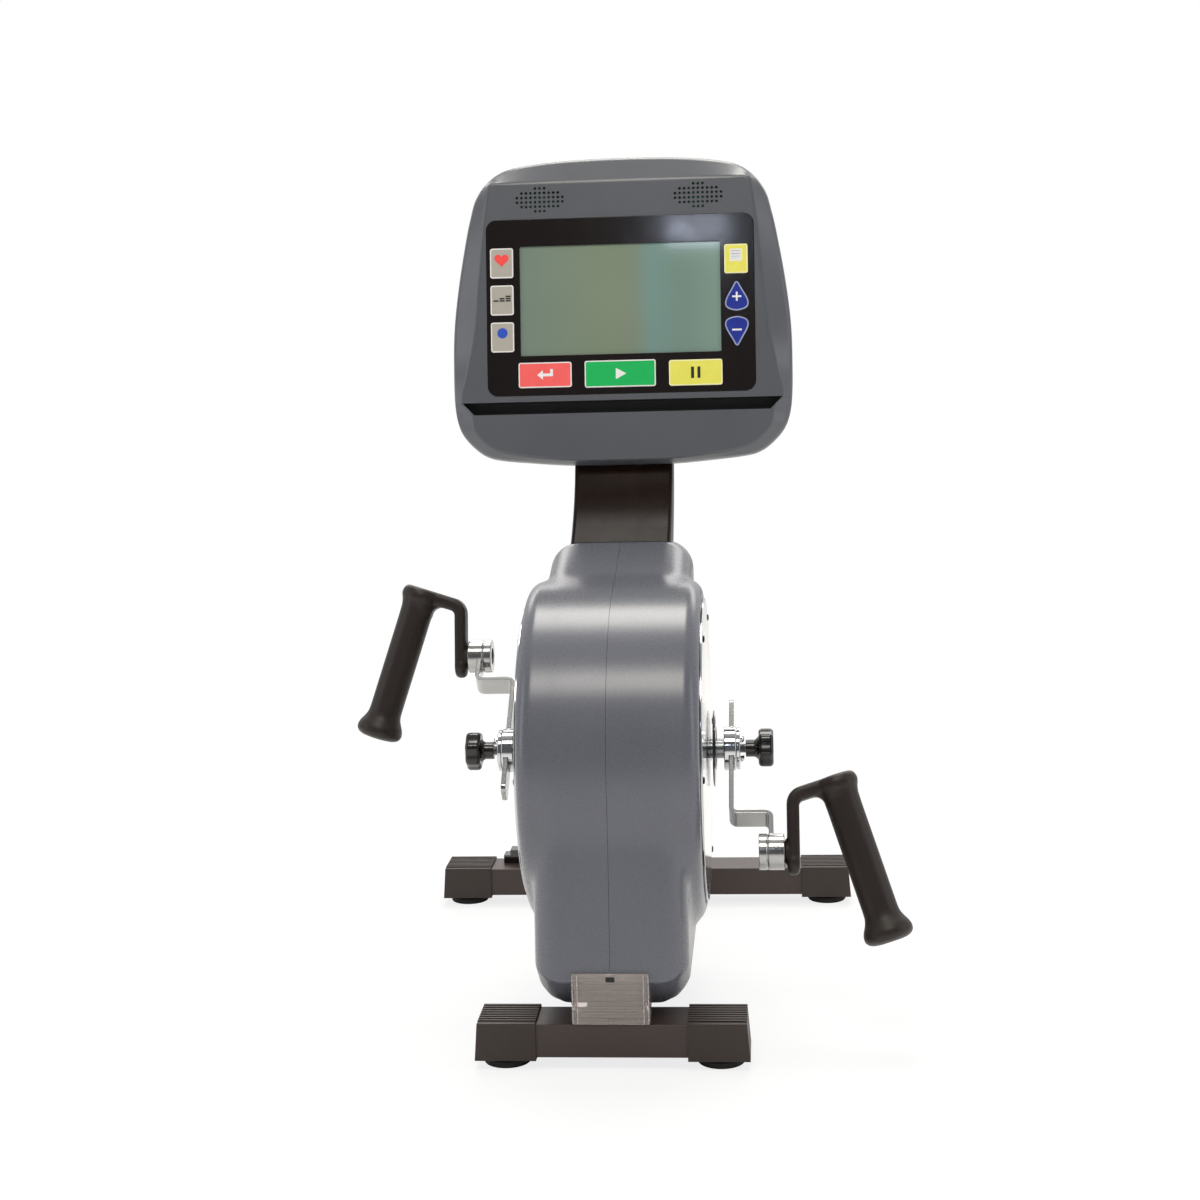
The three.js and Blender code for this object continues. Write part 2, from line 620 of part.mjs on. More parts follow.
for (const [name, side] of Object.entries(sides)) {
  const bore = crankAxle.radius + clearance;
  const far = flange.from + flange.thickness;
  piece(atAxle, `${name}_flange_disc`, mirrored(turned([
    [flange.from, bore], [flange.from, flange.radius - flange.edge],
    [flange.from + flange.edge, flange.radius],
    [far, flange.radius - 4 * flange.edge], [far, bore], [flange.from, bore],
  ], 32), side), mats.gloss);
}

// A wheel with a bore, a wide hub, a thinner web and a wide rim, centred on x = 0
function wheelShape({ bore, hubRadius, hubWidth, web, rimInner, radius, rimWidth }) {
  const half = [
    [hubWidth / 2, bore], [hubWidth / 2, hubRadius], [web / 2, hubRadius], [web / 2, rimInner],
    [rimWidth / 2, rimInner], [rimWidth / 2, radius],
  ];
  const other = half.map(([x, r]) => [-x, r]).reverse();
  return turned([...half, ...other, half[0]], 28);
}

const pulleyShape = wheelShape({
  ...pulley, bore: crankAxle.radius + clearance, rimInner: pulley.radius - pulley.rimThickness,
});
piece(atAxle, 'drive_pulley', pulleyShape.translate(pulley.at, 0, 0), mats.iron);

// Outline of a loop round two circles on the line from the crank axle to the flywheel shaft
function loopOutline(bigRadius, smallRadius) {
  const distance = Math.hypot(shaft.behind, shaft.below);
  const heading = Math.atan2(-shaft.below, shaft.behind);
  const wrap = Math.acos((bigRadius - smallRadius) / distance);
  const arc = ([y, z], radius, from, to, steps) => Array.from({ length: steps + 1 }, (_, i) => {
    const angle = from + ((to - from) * i) / steps;
    return new THREE.Vector2(y + radius * Math.cos(angle), z + radius * Math.sin(angle));
  });
  return [
    ...arc([0, 0], bigRadius, heading + wrap, heading + 2 * Math.PI - wrap, 30),
    ...arc([shaft.behind, -shaft.below], smallRadius, heading - wrap, heading + wrap, 10),
  ];
}
const beltSpan = [pulley.at - belt.width / 2, pulley.at + belt.width / 2];
const beltLoop = (out) => loopOutline(pulley.radius + out, smallPulley.radius + out);
const beltOuter = pushed('x', beltLoop(clearance + belt.thickness), ...beltSpan);
const beltInner = pushed('x', beltLoop(clearance), beltSpan[0] - overrun, beltSpan[1] + overrun);
piece(atAxle, 'drive_belt', cut(beltOuter, beltInner), mats.rubber);

const lipAt = belt.width / 2 + clearance;
const lipEnd = lipAt + smallPulley.lipWidth;
const shaftEnds = [flywheel.from - overrun, pulley.at + lipEnd + overrun / 2];
const groove = [[-lipEnd, smallPulley.lip], [-lipAt, smallPulley.lip], [-lipAt, smallPulley.radius]];
const grooveProfile = [...groove, ...groove.map(([x, r]) => [-x, r]).reverse()]
  .map(([x, r]) => [pulley.at + x, r]);
piece(atAxle, 'flywheel_shaft', turned([
  [shaftEnds[0], 0], [shaftEnds[0], shaft.radius], [pulley.at - lipEnd, shaft.radius], ...grooveProfile,
  [pulley.at + lipEnd, shaft.radius], [shaftEnds[1], shaft.radius], [shaftEnds[1], 0],
], 20), mats.steel).position.set(...atShaft);

const wheelWidth = flywheel.to - flywheel.from;
const flywheelShape = wheelShape({
  ...flywheel, bore: shaft.radius + clearance, rimInner: flywheel.radius - flywheel.rim,
  hubWidth: wheelWidth, rimWidth: wheelWidth,
}).translate((flywheel.from + flywheel.to) / 2, 0, 0);
piece(atAxle, 'flywheel', flywheelShape, mats.iron).position.set(...atShaft);

// Brake yoke on the post's pivot pin, with magnets facing the flywheel's rim, and its servo
const magnet = { size: 16, count: 4, thickness: 2.2, strip: 1 };
const servo = { width: 26, depth: 34, height: 40, drop: 150, hornRadius: 9, hornThickness: 3 };

function sector(inner, outer, from, to, steps = 10) {
  const arc = (radius, a, b) => Array.from({ length: steps + 1 }, (_, i) => {
    const angle = a + ((b - a) * i) / steps;
    return new THREE.Vector2(
      shaft.behind + radius * Math.cos(angle), radius * Math.sin(angle) - shaft.below,
    );
  });
  return [...arc(outer, from, to), ...arc(inner, to, from)];
}
const padBack = yoke.inner - clearance;
const padFace = padBack - magnet.thickness;
const stripFace = padBack - magnet.strip;
const yokeSpan = [flywheel.from, flywheel.to];
const yokeArc = [yoke.middle - yoke.spread, yoke.middle + yoke.spread];
const yokeBore = cylinder(
  'x', brakePivot.radius + clearance, flywheel.from - overrun, flywheel.to + overrun, 16,
);
const yokeShape = cut(
  joined(
    pushed('x', sector(yoke.inner, yoke.outer, ...yokeArc), ...yokeSpan),
    cylinder('x', yokeEar.radius, ...yokeSpan, 20).translate(0, ...earPlace),
  ),
  yokeBore.translate(0, ...earPlace),
);
piece(atAxle, 'brake_yoke', yokeShape, mats.steel);
const magnetPads = Array.from({ length: magnet.count }, (_, i) => {
  const pitch = (2 * yoke.spread) / (magnet.count + 1);
  const middle = yokeArc[0] + pitch * (i + 1);
  const half = magnet.size / 2 / yoke.inner;
  return pushed('x', sector(padFace, padBack, middle - half, middle + half, 2), ...yokeSpan);
});
const magnetStrip = pushed('x', sector(stripFace, padBack, ...yokeArc), ...yokeSpan);
piece(atAxle, 'brake_magnets', joined(magnetStrip, ...magnetPads), mats.steel);

const servoFace = -post.width / 2 - clearance;
const servoEnd = servoFace - servo.width;
piece(atAxle, 'brake_servo', joined(
  box(
    [servoEnd, servoFace], [-servo.depth / 2, servo.depth / 2],
    [-servo.drop - servo.height, -servo.drop],
  ),
  cylinder('x', servo.hornRadius, servoEnd - servo.hornThickness, servoFace - servo.width / 2, 20)
    .translate(0, 0, -servo.drop - servo.height / 2),
), mats.gloss);

// Cranks: x is measured from the machine's middle, z along the arm from the axle to the handle
const arm = {
  at: 120.5, outerAt: 161.3, thickness: 5, width: 25, stub: 61.5, endRound: 8, stepAt: 92, bend: 5.5,
};
const knob = {
  stem: 5, neckFrom: 135.6, neck: 9.2, headFrom: 149.2, headTo: 165.2, radius: 21, lobes: 7,
  lobeDepth: 1.7, edge: 3,
};
const sleeve = {
  from: 148.5, to: 174.6, radius: 18.5, bore: 9.4, groove: 157.6, grooveDepth: 1.1, edge: 0.9,
};
const rod = {
  at: 183.9, thickness: 13, width: 26, riseTop: 55.5, archOut: 229, archTop: 69.5, bend: 12, end: 10,
  endRadius: 14, edge: 4.5, pin: 9, pinStart: 151, shoulder: 12.5,
};
const grip = {
  topOut: 226.3, top: 77.6, endOut: 280.8, end: -91, radius: 18,
  shares: [
    [0, 0], [0, 0.45], [0.02, 1], [0.05, 1.24], [0.11, 1.02], [0.5, 1], [0.8, 1], [0.88, 1.06],
    [0.91, 1.22], [0.935, 1.4], [0.955, 1.43], [0.978, 1.24], [0.993, 0.9], [1, 0.45], [1, 0],
  ],
};

function hubShape() {
  const { from, to, radius, chamfer } = hub;
  const body = turned([
    [from, 0], [from, radius], [to - chamfer, radius], [to, radius - chamfer], [to, 0],
  ], 28);
  const slot = box(
    [arm.at - arm.thickness / 2 - clearance, arm.at + arm.thickness / 2 + clearance],
    [-arm.width / 2 - clearance, arm.width / 2 + clearance], [-2 * radius, 2 * radius],
  );
  const spigotHole = cylinder('x', hub.spigot + clearance, from - overrun, arm.at, 24);
  const stemHole = cylinder('x', knob.stem + clearance, arm.at, to + overrun, 20);
  return cut(body, slot, spigotHole, stemHole, ...hubScrewHoles());
}

const hubScrewHoles = () => [-1, 1].map((end) => {
  const hole = cylinder(
    'x', hub.screwRadius + clearance, hub.screwFrom - clearance, hub.plateTo + overrun, 10,
  );
  return hole.translate(0, end * hub.screwAt, 0);
});

function plateShape() {
  const from = hub.to + clearance;
  const plate = turned([
    [from, 0], [from, hub.plateRadius], [hub.plateTo - hub.chamfer, hub.plateRadius],
    [hub.plateTo, hub.plateRadius - hub.chamfer], [hub.plateTo, 0],
  ], 24);
  const stemHole = cylinder('x', knob.stem + clearance, from - overrun, hub.plateTo + overrun, 20);
  return cut(plate, stemHole, ...hubScrewHoles());
}

function knobShape() {
  const count = 4 * knob.lobes;
  const outline = Array.from({ length: count }, (_, i) => {
    const angle = (2 * Math.PI * i) / count;
    const radius = knob.radius - knob.lobeDepth * (1 - Math.cos(knob.lobes * angle)) / 2;
    return new THREE.Vector2(radius * Math.cos(angle), radius * Math.sin(angle));
  });
  const handle = pushed('x', outline, knob.headFrom, knob.headTo, knob.edge, 0, 1);
  const neckPart = cylinder('x', knob.neck, knob.neckFrom, knob.headFrom + knob.edge, 24);
  const stemFrom = arm.at + arm.thickness / 2 + clearance;
  const stem = cylinder('x', knob.stem, stemFrom, knob.neckFrom + knob.edge, 20);
  return joined(handle, neckPart, stem);
}

function armShape() {
  const line = [
    [arm.at, -arm.stub], [arm.at, arm.stepAt], [arm.outerAt, arm.stepAt], [arm.outerAt, crankLength],
  ];
  const bar = pushed('y', strip(line, arm.thickness, arm.bend), -arm.width / 2, arm.width / 2);
  const blank = pushed('x', rounded([
    [-arm.width / 2, -arm.stub, arm.endRound], [arm.width / 2, -arm.stub, arm.endRound],
    [arm.width / 2, 2 * crankLength], [-arm.width / 2, 2 * crankLength],
  ]), 0, 2 * arm.outerAt);
  const eye = cylinder('x', sleeve.radius - sleeve.edge, sleeve.from - overrun, sleeve.to + overrun, 24)
    .translate(0, 0, crankLength);
  return joined(cut(common(bar, blank), eye), sleeveShape());
}

function sleeveShape() {
  const { from, to, radius, bore, groove, grooveDepth, edge } = sleeve;
  return turned([
    [from, bore], [from, radius - edge], [from + edge, radius], [groove - edge, radius],
    [groove, radius - grooveDepth], [groove + edge, radius], [to, radius], [to, bore], [from, bore],
  ], 24).translate(0, 0, crankLength);
}

const rodLine = [[rod.at, -rod.end], [rod.at, rod.riseTop], [rod.archOut, rod.archTop]];
function rodShape(extra = 0) {
  const outline = strip(rodLine, rod.thickness + 2 * extra, rod.bend, 4);
  const bar = pushed('y', outline, -rod.width / 2 - extra, rod.width / 2 + extra, rod.edge, 0, 1);
  if (extra > 0) return bar;
  const [inside, outside] = [rod.at - rod.thickness / 2, rod.at + rod.thickness / 2];
  const softRadius = rod.endRadius - rod.edge;
  const end = turned([
    [inside, 0], [inside, softRadius], [inside + rod.edge, rod.endRadius],
    [outside - rod.edge, rod.endRadius], [outside, softRadius], [outside, 0],
  ], 24).translate(0, 0, -rod.end);
  const pin = cylinder('x', rod.pin, rod.pinStart, rod.at, 24);
  const collar = cylinder('x', rod.shoulder, sleeve.to + clearance, rod.at, 24);
  return joined(bar, end, pin, collar);
}

function gripShape() {
  const way = new THREE.Vector2(grip.endOut - grip.topOut, grip.end - grip.top);
  const profile = grip.shares.map(([along, radius]) => (
    new THREE.Vector2(radius * grip.radius, -along * way.length())
  ));
  const body = new THREE.LatheGeometry(profile, 20).rotateX(Math.PI / 2);
  body.rotateY(-Math.atan2(way.x, -way.y)).translate(grip.topOut, 0, grip.top);
  return cut(body, rodShape(clearance));
}

for (const [name, side] of Object.entries(sides)) {
  const crank = new THREE.Group();
  crank.rotation.x = side < 0 ? -crankAngle : Math.PI - crankAngle;
  atAxle.add(crank);
  piece(crank, `${name}_hub_body`, mirrored(hubShape(), side), mats.chrome);
  piece(crank, `${name}_hub_plate`, mirrored(plateShape(), side), mats.chrome);
  piece(crank, `${name}_lock_knob`, mirrored(knobShape(), side), mats.gloss);
  piece(crank, `${name}_crank_arm`, mirrored(armShape(), side), mats.chrome);
  const handle = new THREE.Group();
  handle.position.z = crankLength;
  handle.rotation.x = -handleLean[name] - crank.rotation.x;
  crank.add(handle);
  piece(handle, `${name}_handle_rod`, mirrored(rodShape(), side), mats.grip);
  piece(handle, `${name}_hand_grip`, mirrored(gripShape(), side), mats.grip);
}

// Neck cover: a bowed sleeve from the housing's shoulder to the console's underside
const neckFront = [neckFoot, fromFace(neck.topInFace, -head.chin - clearance)];
const neckBack = [
  [neckFoot[0] + neck.depth, neckFoot[1] - neck.drop],
  fromFace(neck.topOutFace, -neck.backTop - clearance),
];
const neckUnder = fromFace(head.parting, -head.chin - clearance);

function bowedLine([start, end], bow) {
  const steps = 5;
  return Array.from({ length: steps + 1 }, (_, i) => {
    const share = i / steps;
    const out = bow * Math.sin(Math.PI * share);
    const [y, z] = start.map((value, k) => value + (end[k] - value) * share);
    return [y + out, z - out / 2];
  });
}

function neckOutline(wall) {
  const front = bowedLine(neckFront, neck.bow).map(([y, z]) => [y + wall, z]);
  const back = bowedLine(neckBack, neck.bow).map(([y, z]) => [y - wall, z]).reverse();
  const high = 2 * neckUnder[1];
  const top = wall > 0 ? [[front.at(-1)[0], high], [back[0][0], high]] : [neckUnder];
  const low = neckFoot[1] - neck.sink - wall;
  return [[neckFoot[0] + wall, low], ...front, ...top, ...back, [back.at(-1)[0], low]]
    .map(([y, z]) => new THREE.Vector2(y, z));
}

function neckShape() {
  const outer = pushed('x', neckOutline(0), -neck.width / 2, neck.width / 2);
  const innerHalf = neck.width / 2 - neck.wall;
  const inner = pushed('x', neckOutline(neck.wall), -innerHalf, innerHalf);
  return cut(outer, inner, housingForm(-clearance));
}
piece(atAxle, 'neck_cover', neckShape(), mats.gloss);

// Console: x across, y into the console, z up its face, from the middle of the book slot's top
const rimShares = [
  [0, 1], [0.351, 0.994], [0.558, 0.979], [0.687, 0.959], [0.785, 0.914], [0.857, 0.841],
  [0.892, 0.756], [0.916, 0.678], [0.965, 0.472], [0.995, 0.28], [1, 0.092], [0.995, -0.026],
  [0.981, -0.096], [0.953, -0.151], [0.904, -0.197], [0.829, -0.242], [0.749, -0.264],
  [0.527, -0.282], [0.3, -0.294], [0, -0.296],
];
const faceShares = [
  [0, 0.892], [0.32, 0.892], [0.542, 0.892], [0.661, 0.892], [0.759, 0.889], [0.777, 0.848],
  [0.79, 0.767], [0.801, 0.69], [0.826, 0.479], [0.852, 0.273], [0.904, 0.111], [0.945, -0.026],
  [0.883, -0.077], [0.868, -0.14], [0.821, -0.188], [0.759, -0.223], [0.682, -0.242],
  [0.517, -0.262], [0.284, -0.277], [0, -0.28],
];
const fullRing = (shares, depth, inset, scale = 1) => {
  const half = shares.map(([across, up]) => {
    const middle = (head.top - head.chin) / 2;
    const shrink = (value, reach) => (
      value * (1 - Math.min(inset / Math.abs(value || reach), inset / reach))
    );
    const x = shrink(across * head.halfWidth * scale, head.halfWidth);
    const z = middle + shrink((up * head.top - middle) * scale, middle + head.chin);
    return new THREE.Vector3(x, depth, z);
  });
  const other = half.slice(1, -1).reverse().map(({ x, y, z }) => new THREE.Vector3(-x, y, z));
  return [...half, ...other];
};

// A closed body through rings of equal point counts
function lofted(rings) {
  const count = rings[0].length;
  const index = [];
  for (let r = 0; r < rings.length - 1; r++) {
    for (let i = 0; i < count; i++) {
      const [a, b] = [r * count + i, r * count + ((i + 1) % count)];
      index.push(a, b, b + count, a, b + count, a + count);
    }
  }
  const closeEnd = (ring, offset, alongRing) => {
    const flat = ring.map(({ x, z }) => new THREE.Vector2(x, z));
    const turn = THREE.ShapeUtils.area(flat);
    for (const face of THREE.ShapeUtils.triangulateShape(flat, [])) {
      const agrees = THREE.ShapeUtils.area(face.map((k) => flat[k])) * turn > 0;
      index.push(...(agrees === alongRing ? face : face.reverse()).map((k) => k + offset));
    }
  };
  closeEnd(rings[0], 0, false);
  closeEnd(rings.at(-1), (rings.length - 1) * count, true);
  const geometry = new THREE.BufferGeometry();
  const places = rings.flat().flatMap(({ x, y, z }) => [x, y, z]);
  geometry.setAttribute('position', new THREE.Float32BufferAttribute(places, 3));
  geometry.setIndex(index);
  return geometry;
}

const slot = { halfTop: 181.5, halfBottom: 168, height: 14, depth: 15, wall: 2 };
const overlay = { width: 304, height: 201, corner: 12, thickness: 1.6, bottom: -1, recess: 1.5, ledge: 4 };
const lcd = { sideMargin: 38.2, topMargin: 31.1, lowMargin: 45.3, frame: 4, lowFrame: 1, thickness: 8 };
const board = { side: 2.2, over: 64, under: 32, thickness: 1.6 };
const speaker = { radius: 18, depth: 3.4, x: 90, z: 219, cone: 14 };
const overlayMiddle = overlay.bottom + overlay.height / 2;
const keyShape = { thickness: 2.4, proud: 0.7, corner: 2.4 };
const dropShares = [
  [0, 0.5], [0.07, 0.473], [0.132, 0.382], [0.256, 0.206], [0.385, 0.033], [0.48, -0.136],
  [0.5, -0.224], [0.473, -0.345], [0.355, -0.43], [0.165, -0.482], [0, -0.5],
];
const keyShares = {
  heart: { across: -0.442, up: 0.754, wide: 0.087, tall: 0.169, material: mats.grey },
  bars: { across: -0.442, up: 0.544, wide: 0.087, tall: 0.169, material: mats.grey },
  dot: { across: -0.442, up: 0.334, wide: 0.087, tall: 0.169, material: mats.grey },
  list: { across: 0.433, up: 0.743, wide: 0.087, tall: 0.164, material: mats.yellow },
  plus: { across: 0.434, up: 0.533, wide: 0.087, tall: 0.164, material: mats.blue, tip: 'up' },
  minus: { across: 0.433, up: 0.337, wide: 0.087, tall: 0.164, material: mats.blue, tip: 'down' },
  return: { across: -0.284, up: 0.115, wide: 0.199, tall: 0.143, material: mats.red },
  play: { across: -0.003, up: 0.113, wide: 0.265, tall: 0.151, material: mats.green },
  pause: { across: 0.278, up: 0.109, wide: 0.198, tall: 0.145, material: mats.yellow },
};
const keys = Object.entries(keyShares).map(([name, { across, up, wide, tall, material, tip }]) => ({
  name,
  material,
  tip,
  x: across * overlay.width,
  z: overlay.bottom + up * overlay.height,
  width: wide * overlay.width,
  height: tall * overlay.height,
}));
const view = {
  half: overlay.width / 2 - lcd.sideMargin,
  low: overlay.bottom + lcd.lowMargin,
  high: overlay.bottom + overlay.height - lcd.topMargin,
};

function keyOutline({ width, height, tip }, grow) {
  const [w, h] = [width + 2 * grow, height + 2 * grow];
  if (!tip) return rectangle(w, h, keyShape.corner + grow, [0, 0], 2);
  const turn = tip === 'up' ? 1 : -1;
  const half = dropShares.map(([across, up]) => [turn * w * across, turn * h * up]);
  const other = half.slice(1, -1).reverse().map(([x, z]) => [-x, z]);
  return [...half, ...other].reverse().map(([x, z]) => new THREE.Vector2(x, z));
}

const outerRings = [
  fullRing(rimShares, head.parting - clearance / 2, 0),
  fullRing(rimShares, head.rimDepth, 0),
  fullRing(faceShares, 0, 0),
];
const innerRings = [
  fullRing(rimShares, head.parting + overrun, head.wall),
  fullRing(rimShares, head.rimDepth + head.wall, head.wall),
  fullRing(faceShares, head.wall, head.wall),
];
const slotOutline = (out) => {
  const top = overlay.bottom - slot.height / 2;
  return [
    [-slot.halfTop, top + out], [-slot.halfBottom, top - slot.height - out],
    [slot.halfBottom, top - slot.height - out], [slot.halfTop, top + out],
  ].map(([x, z]) => new THREE.Vector2(x, z));
};
const bookSlot = pushed('y', slotOutline(0), -slot.depth, slot.depth);
const slotLiner = pushed('y', slotOutline(slot.wall), head.wall / 2, slot.depth + slot.wall);

function frontShellShape() {
  const shell = cut(lofted(outerRings), lofted(innerRings));
  const lined = joined(shell, common(slotLiner, lofted(outerRings)));
  const hole = (out, corner) => (
    rectangle(overlay.width + 2 * out, overlay.height + 2 * out, corner, [0, overlayMiddle])
  );
  const seat = pushed('y', hole(clearance, overlay.corner), -overrun, overlay.recess);
  const window = pushed('y', hole(-overlay.ledge, overlay.corner / 2), -overrun, 2 * head.wall);
  return cut(lined, bookSlot, seat, window);
}
piece(atFace, 'console_front_shell', frontShellShape(), mats.console);

function rearShellShape() {
  const from = head.parting + clearance / 2;
  const back = fullRing(rimShares, head.depth, 0, head.backShare);
  const innerBack = fullRing(rimShares, head.depth - head.wall, head.wall, head.backShare);
  const outer = lofted([back, fullRing(rimShares, from, 0)]);
  const inner = lofted([innerBack, fullRing(rimShares, from - overrun, head.wall)]);
  const [halfWidth, halfDepth] = [mast.width / 2 + clearance, mast.depth / 2 + clearance];
  const mastCut = box(
    [-halfWidth, halfWidth],
    [mastInFace.behind - halfDepth, mastInFace.behind + halfDepth],
    [-2 * head.chin, 0],
  );
  return cut(outer, inner, mastCut);
}
piece(atFace, 'console_rear_shell', rearShellShape(), mats.console);

const overlayBack = overlay.recess - clearance;
function overlayShape() {
  const outline = rectangle(overlay.width, overlay.height, overlay.corner, [0, overlayMiddle]);
  const plate = pushed('y', outline, overlayBack - overlay.thickness, overlayBack);
  const through = [-overrun, overrun];
  const viewHole = box([-view.half, view.half], through, [view.low, view.high]);
  const holes = keys.map((key) => (
    pushed('y', keyOutline(key, clearance), ...through).translate(key.x, 0, key.z)
  ));
  return cut(plate, viewHole, ...holes);
}
piece(atFace, 'display_overlay', overlayShape(), mats.gloss);

const lcdFront = overlayBack + clearance;
piece(atFace, 'display_module', box(
  [-view.half - lcd.frame, view.half + lcd.frame],
  [lcdFront, lcdFront + lcd.thickness],
  [view.low - lcd.lowFrame, view.high + lcd.frame],
), mats.glass);
const boardFront = lcdFront + lcd.thickness + clearance;
const boardHalf = view.half + lcd.frame + board.side;
const boardShape = box(
  [-boardHalf, boardHalf], [boardFront, boardFront + board.thickness],
  [view.low - lcd.lowFrame - board.under, view.high + lcd.frame + board.over],
);
const speakerShapes = Object.values(sides).map((side) => {
  const front = head.wall + clearance;
  return cut(
    cylinder('y', speaker.radius, front, boardFront + board.thickness / 2, 20),
    cylinder('y', speaker.cone, front - overrun, front + speaker.depth, 16),
  ).translate(side * speaker.x, 0, speaker.z);
});
piece(atFace, 'console_board', joined(boardShape, ...speakerShapes), mats.board);

const keyFront = overlayBack - overlay.thickness - keyShape.proud;
for (const key of keys) {
  const shape = pushed('y', keyOutline(key, 0), keyFront, keyFront + keyShape.thickness);
  piece(atFace, `key_${key.name}`, shape, key.material).position.set(key.x, 0, key.z);
}

export default machine;
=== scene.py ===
import json
import math
from contextlib import contextmanager

import bpy
import numpy as np
from mathutils import Matrix, Vector

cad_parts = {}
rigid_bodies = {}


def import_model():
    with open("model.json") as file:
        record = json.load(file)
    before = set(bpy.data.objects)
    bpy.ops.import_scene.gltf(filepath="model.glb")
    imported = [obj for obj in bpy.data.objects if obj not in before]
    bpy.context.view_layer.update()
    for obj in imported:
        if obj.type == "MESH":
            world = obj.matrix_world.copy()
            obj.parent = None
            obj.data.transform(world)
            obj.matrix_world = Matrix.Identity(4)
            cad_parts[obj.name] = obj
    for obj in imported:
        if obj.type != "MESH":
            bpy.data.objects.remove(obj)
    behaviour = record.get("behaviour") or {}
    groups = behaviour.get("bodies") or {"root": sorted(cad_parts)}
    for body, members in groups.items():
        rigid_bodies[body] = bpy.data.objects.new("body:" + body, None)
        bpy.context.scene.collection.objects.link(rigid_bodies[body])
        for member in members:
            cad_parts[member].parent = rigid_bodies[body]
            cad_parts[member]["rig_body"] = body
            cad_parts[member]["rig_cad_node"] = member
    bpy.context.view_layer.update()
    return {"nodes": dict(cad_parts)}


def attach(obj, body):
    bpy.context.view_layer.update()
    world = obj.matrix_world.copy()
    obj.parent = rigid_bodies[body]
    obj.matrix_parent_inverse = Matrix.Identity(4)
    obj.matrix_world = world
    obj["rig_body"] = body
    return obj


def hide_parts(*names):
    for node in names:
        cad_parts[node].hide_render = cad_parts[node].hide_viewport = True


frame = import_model()
cadNodes = frame["nodes"]
mm = 0.001
sides = {"left": -1, "right": 1}
print("frame loaded:", len(cadNodes), "solids")

# Small tools for shaping


def clearSelection():
    if bpy.context.mode != "OBJECT":
        bpy.ops.object.mode_set(mode="OBJECT")
    bpy.ops.object.select_all(action="DESELECT")


def pick(piece):
    clearSelection()
    piece.select_set(True)
    bpy.context.view_layer.objects.active = piece


# Edit mode on the active mesh, with all or none of it selected where that is asked
@contextmanager
def editing(select=None):
    bpy.ops.object.mode_set(mode="EDIT")
    if select:
        bpy.ops.mesh.select_all(action=select)
    yield
    bpy.ops.object.mode_set(mode="OBJECT")


# Selects only the edges or polygons that pass the test
def selectParts(piece, kind, test):
    pick(piece)
    with editing():
        bpy.ops.mesh.select_all(action="DESELECT")
    for part in getattr(piece.data, kind):
        part.select = test(part)


def applyModifier(piece, kind, **settings):
    pick(piece)
    modifier = piece.modifiers.new(kind.lower(), kind)
    for key, value in settings.items():
        setattr(modifier, key, value)
    bpy.ops.object.modifier_apply(modifier=modifier.name)
    return piece


def softenEdges(piece, width, segments=3, angle=35):
    return applyModifier(
        piece, "BEVEL", width=width * mm, segments=segments, limit_method="ANGLE",
        angle_limit=math.radians(angle), use_clamp_overlap=True, harden_normals=False,
    )


def carve(piece, cutter, operation="DIFFERENCE"):
    applyModifier(
        piece, "BOOLEAN", object=cutter, operation=operation, solver="EXACT", material_mode="TRANSFER",
    )
    bpy.data.objects.remove(cutter)
    return piece


# Rounds only the edges that the test picks by their two ends
def roundEdges(piece, test, width, segments):
    bpy.context.tool_settings.mesh_select_mode = (False, True, False)
    selectParts(piece, "edges", lambda edge: test(*[piece.data.vertices[i].co for i in edge.vertices]))
    with editing():
        bpy.ops.mesh.bevel(offset=width * mm, segments=segments)
    bpy.context.tool_settings.mesh_select_mode = (True, False, False)


def faceOutwards(piece):
    pick(piece)
    with editing("SELECT"):
        bpy.ops.mesh.remove_doubles(threshold=0.002 * mm)
        bpy.ops.mesh.normals_make_consistent(inside=False)
    return piece


# A chain of points traced by extruding one vertex, in millimetres
def traceLine(name, points, filled=False):
    clearSelection()
    bpy.ops.mesh.primitive_plane_add(size=mm)
    line = bpy.context.object
    line.name = line.data.name = name
    places = [Vector(point) * mm for point in points]
    with editing():
        bpy.ops.mesh.merge(type="CENTER")
        bpy.ops.transform.translate(value=places[0])
        for before, after in zip(places, places[1:]):
            bpy.ops.mesh.extrude_vertices_move(TRANSFORM_OT_translate={"value": after - before})
        if filled:
            bpy.ops.mesh.select_all(action="SELECT")
            bpy.ops.mesh.edge_face_add()
    return line


# An outline pushed out: along "x" it takes (y, z), along "y" (x, z), along "z" (x, y)
def pushOutline(name, axis, outline, start, end, edge=0, segments=3, angle=35):
    at = "xyz".index(axis)
    places = [[*point[:at], start, *point[at:]] for point in outline]
    piece = traceLine(name, places, filled=True)
    way = [0, 0, 0]
    way[at] = (end - start) * mm
    with editing("SELECT"):
        bpy.ops.mesh.extrude_region_move(TRANSFORM_OT_translate={"value": way})
    faceOutwards(piece)
    return softenEdges(piece, edge, segments, angle) if edge else piece


# A profile of (x, radius) pairs spun about the X axis
def spinProfile(name, profile, steps=96):
    piece = traceLine(name, [(x, 0, radius) for x, radius in profile])
    with editing("SELECT"):
        bpy.ops.mesh.spin(
            steps=steps, angle=2 * math.pi, center=(0, 0, 0), axis=(1, 0, 0), use_auto_merge=True,
        )
    return faceOutwards(piece)


def joinPieces(first, *others):
    clearSelection()
    for piece in (first, *others):
        piece.select_set(True)
    bpy.context.view_layer.objects.active = first
    bpy.ops.object.join()
    return first


def copyPiece(piece, name):
    copy = piece.copy()
    copy.data = piece.data.copy()
    copy.name = copy.data.name = name
    bpy.context.scene.collection.objects.link(copy)
    return copy


def shift(x, y, z):
    return Matrix.Translation(Vector((x, y, z)) * mm)


def moveTo(piece, place):
    piece.data.transform(place)
    if place.determinant() < 0:
        piece.data.flip_normals()
    return piece


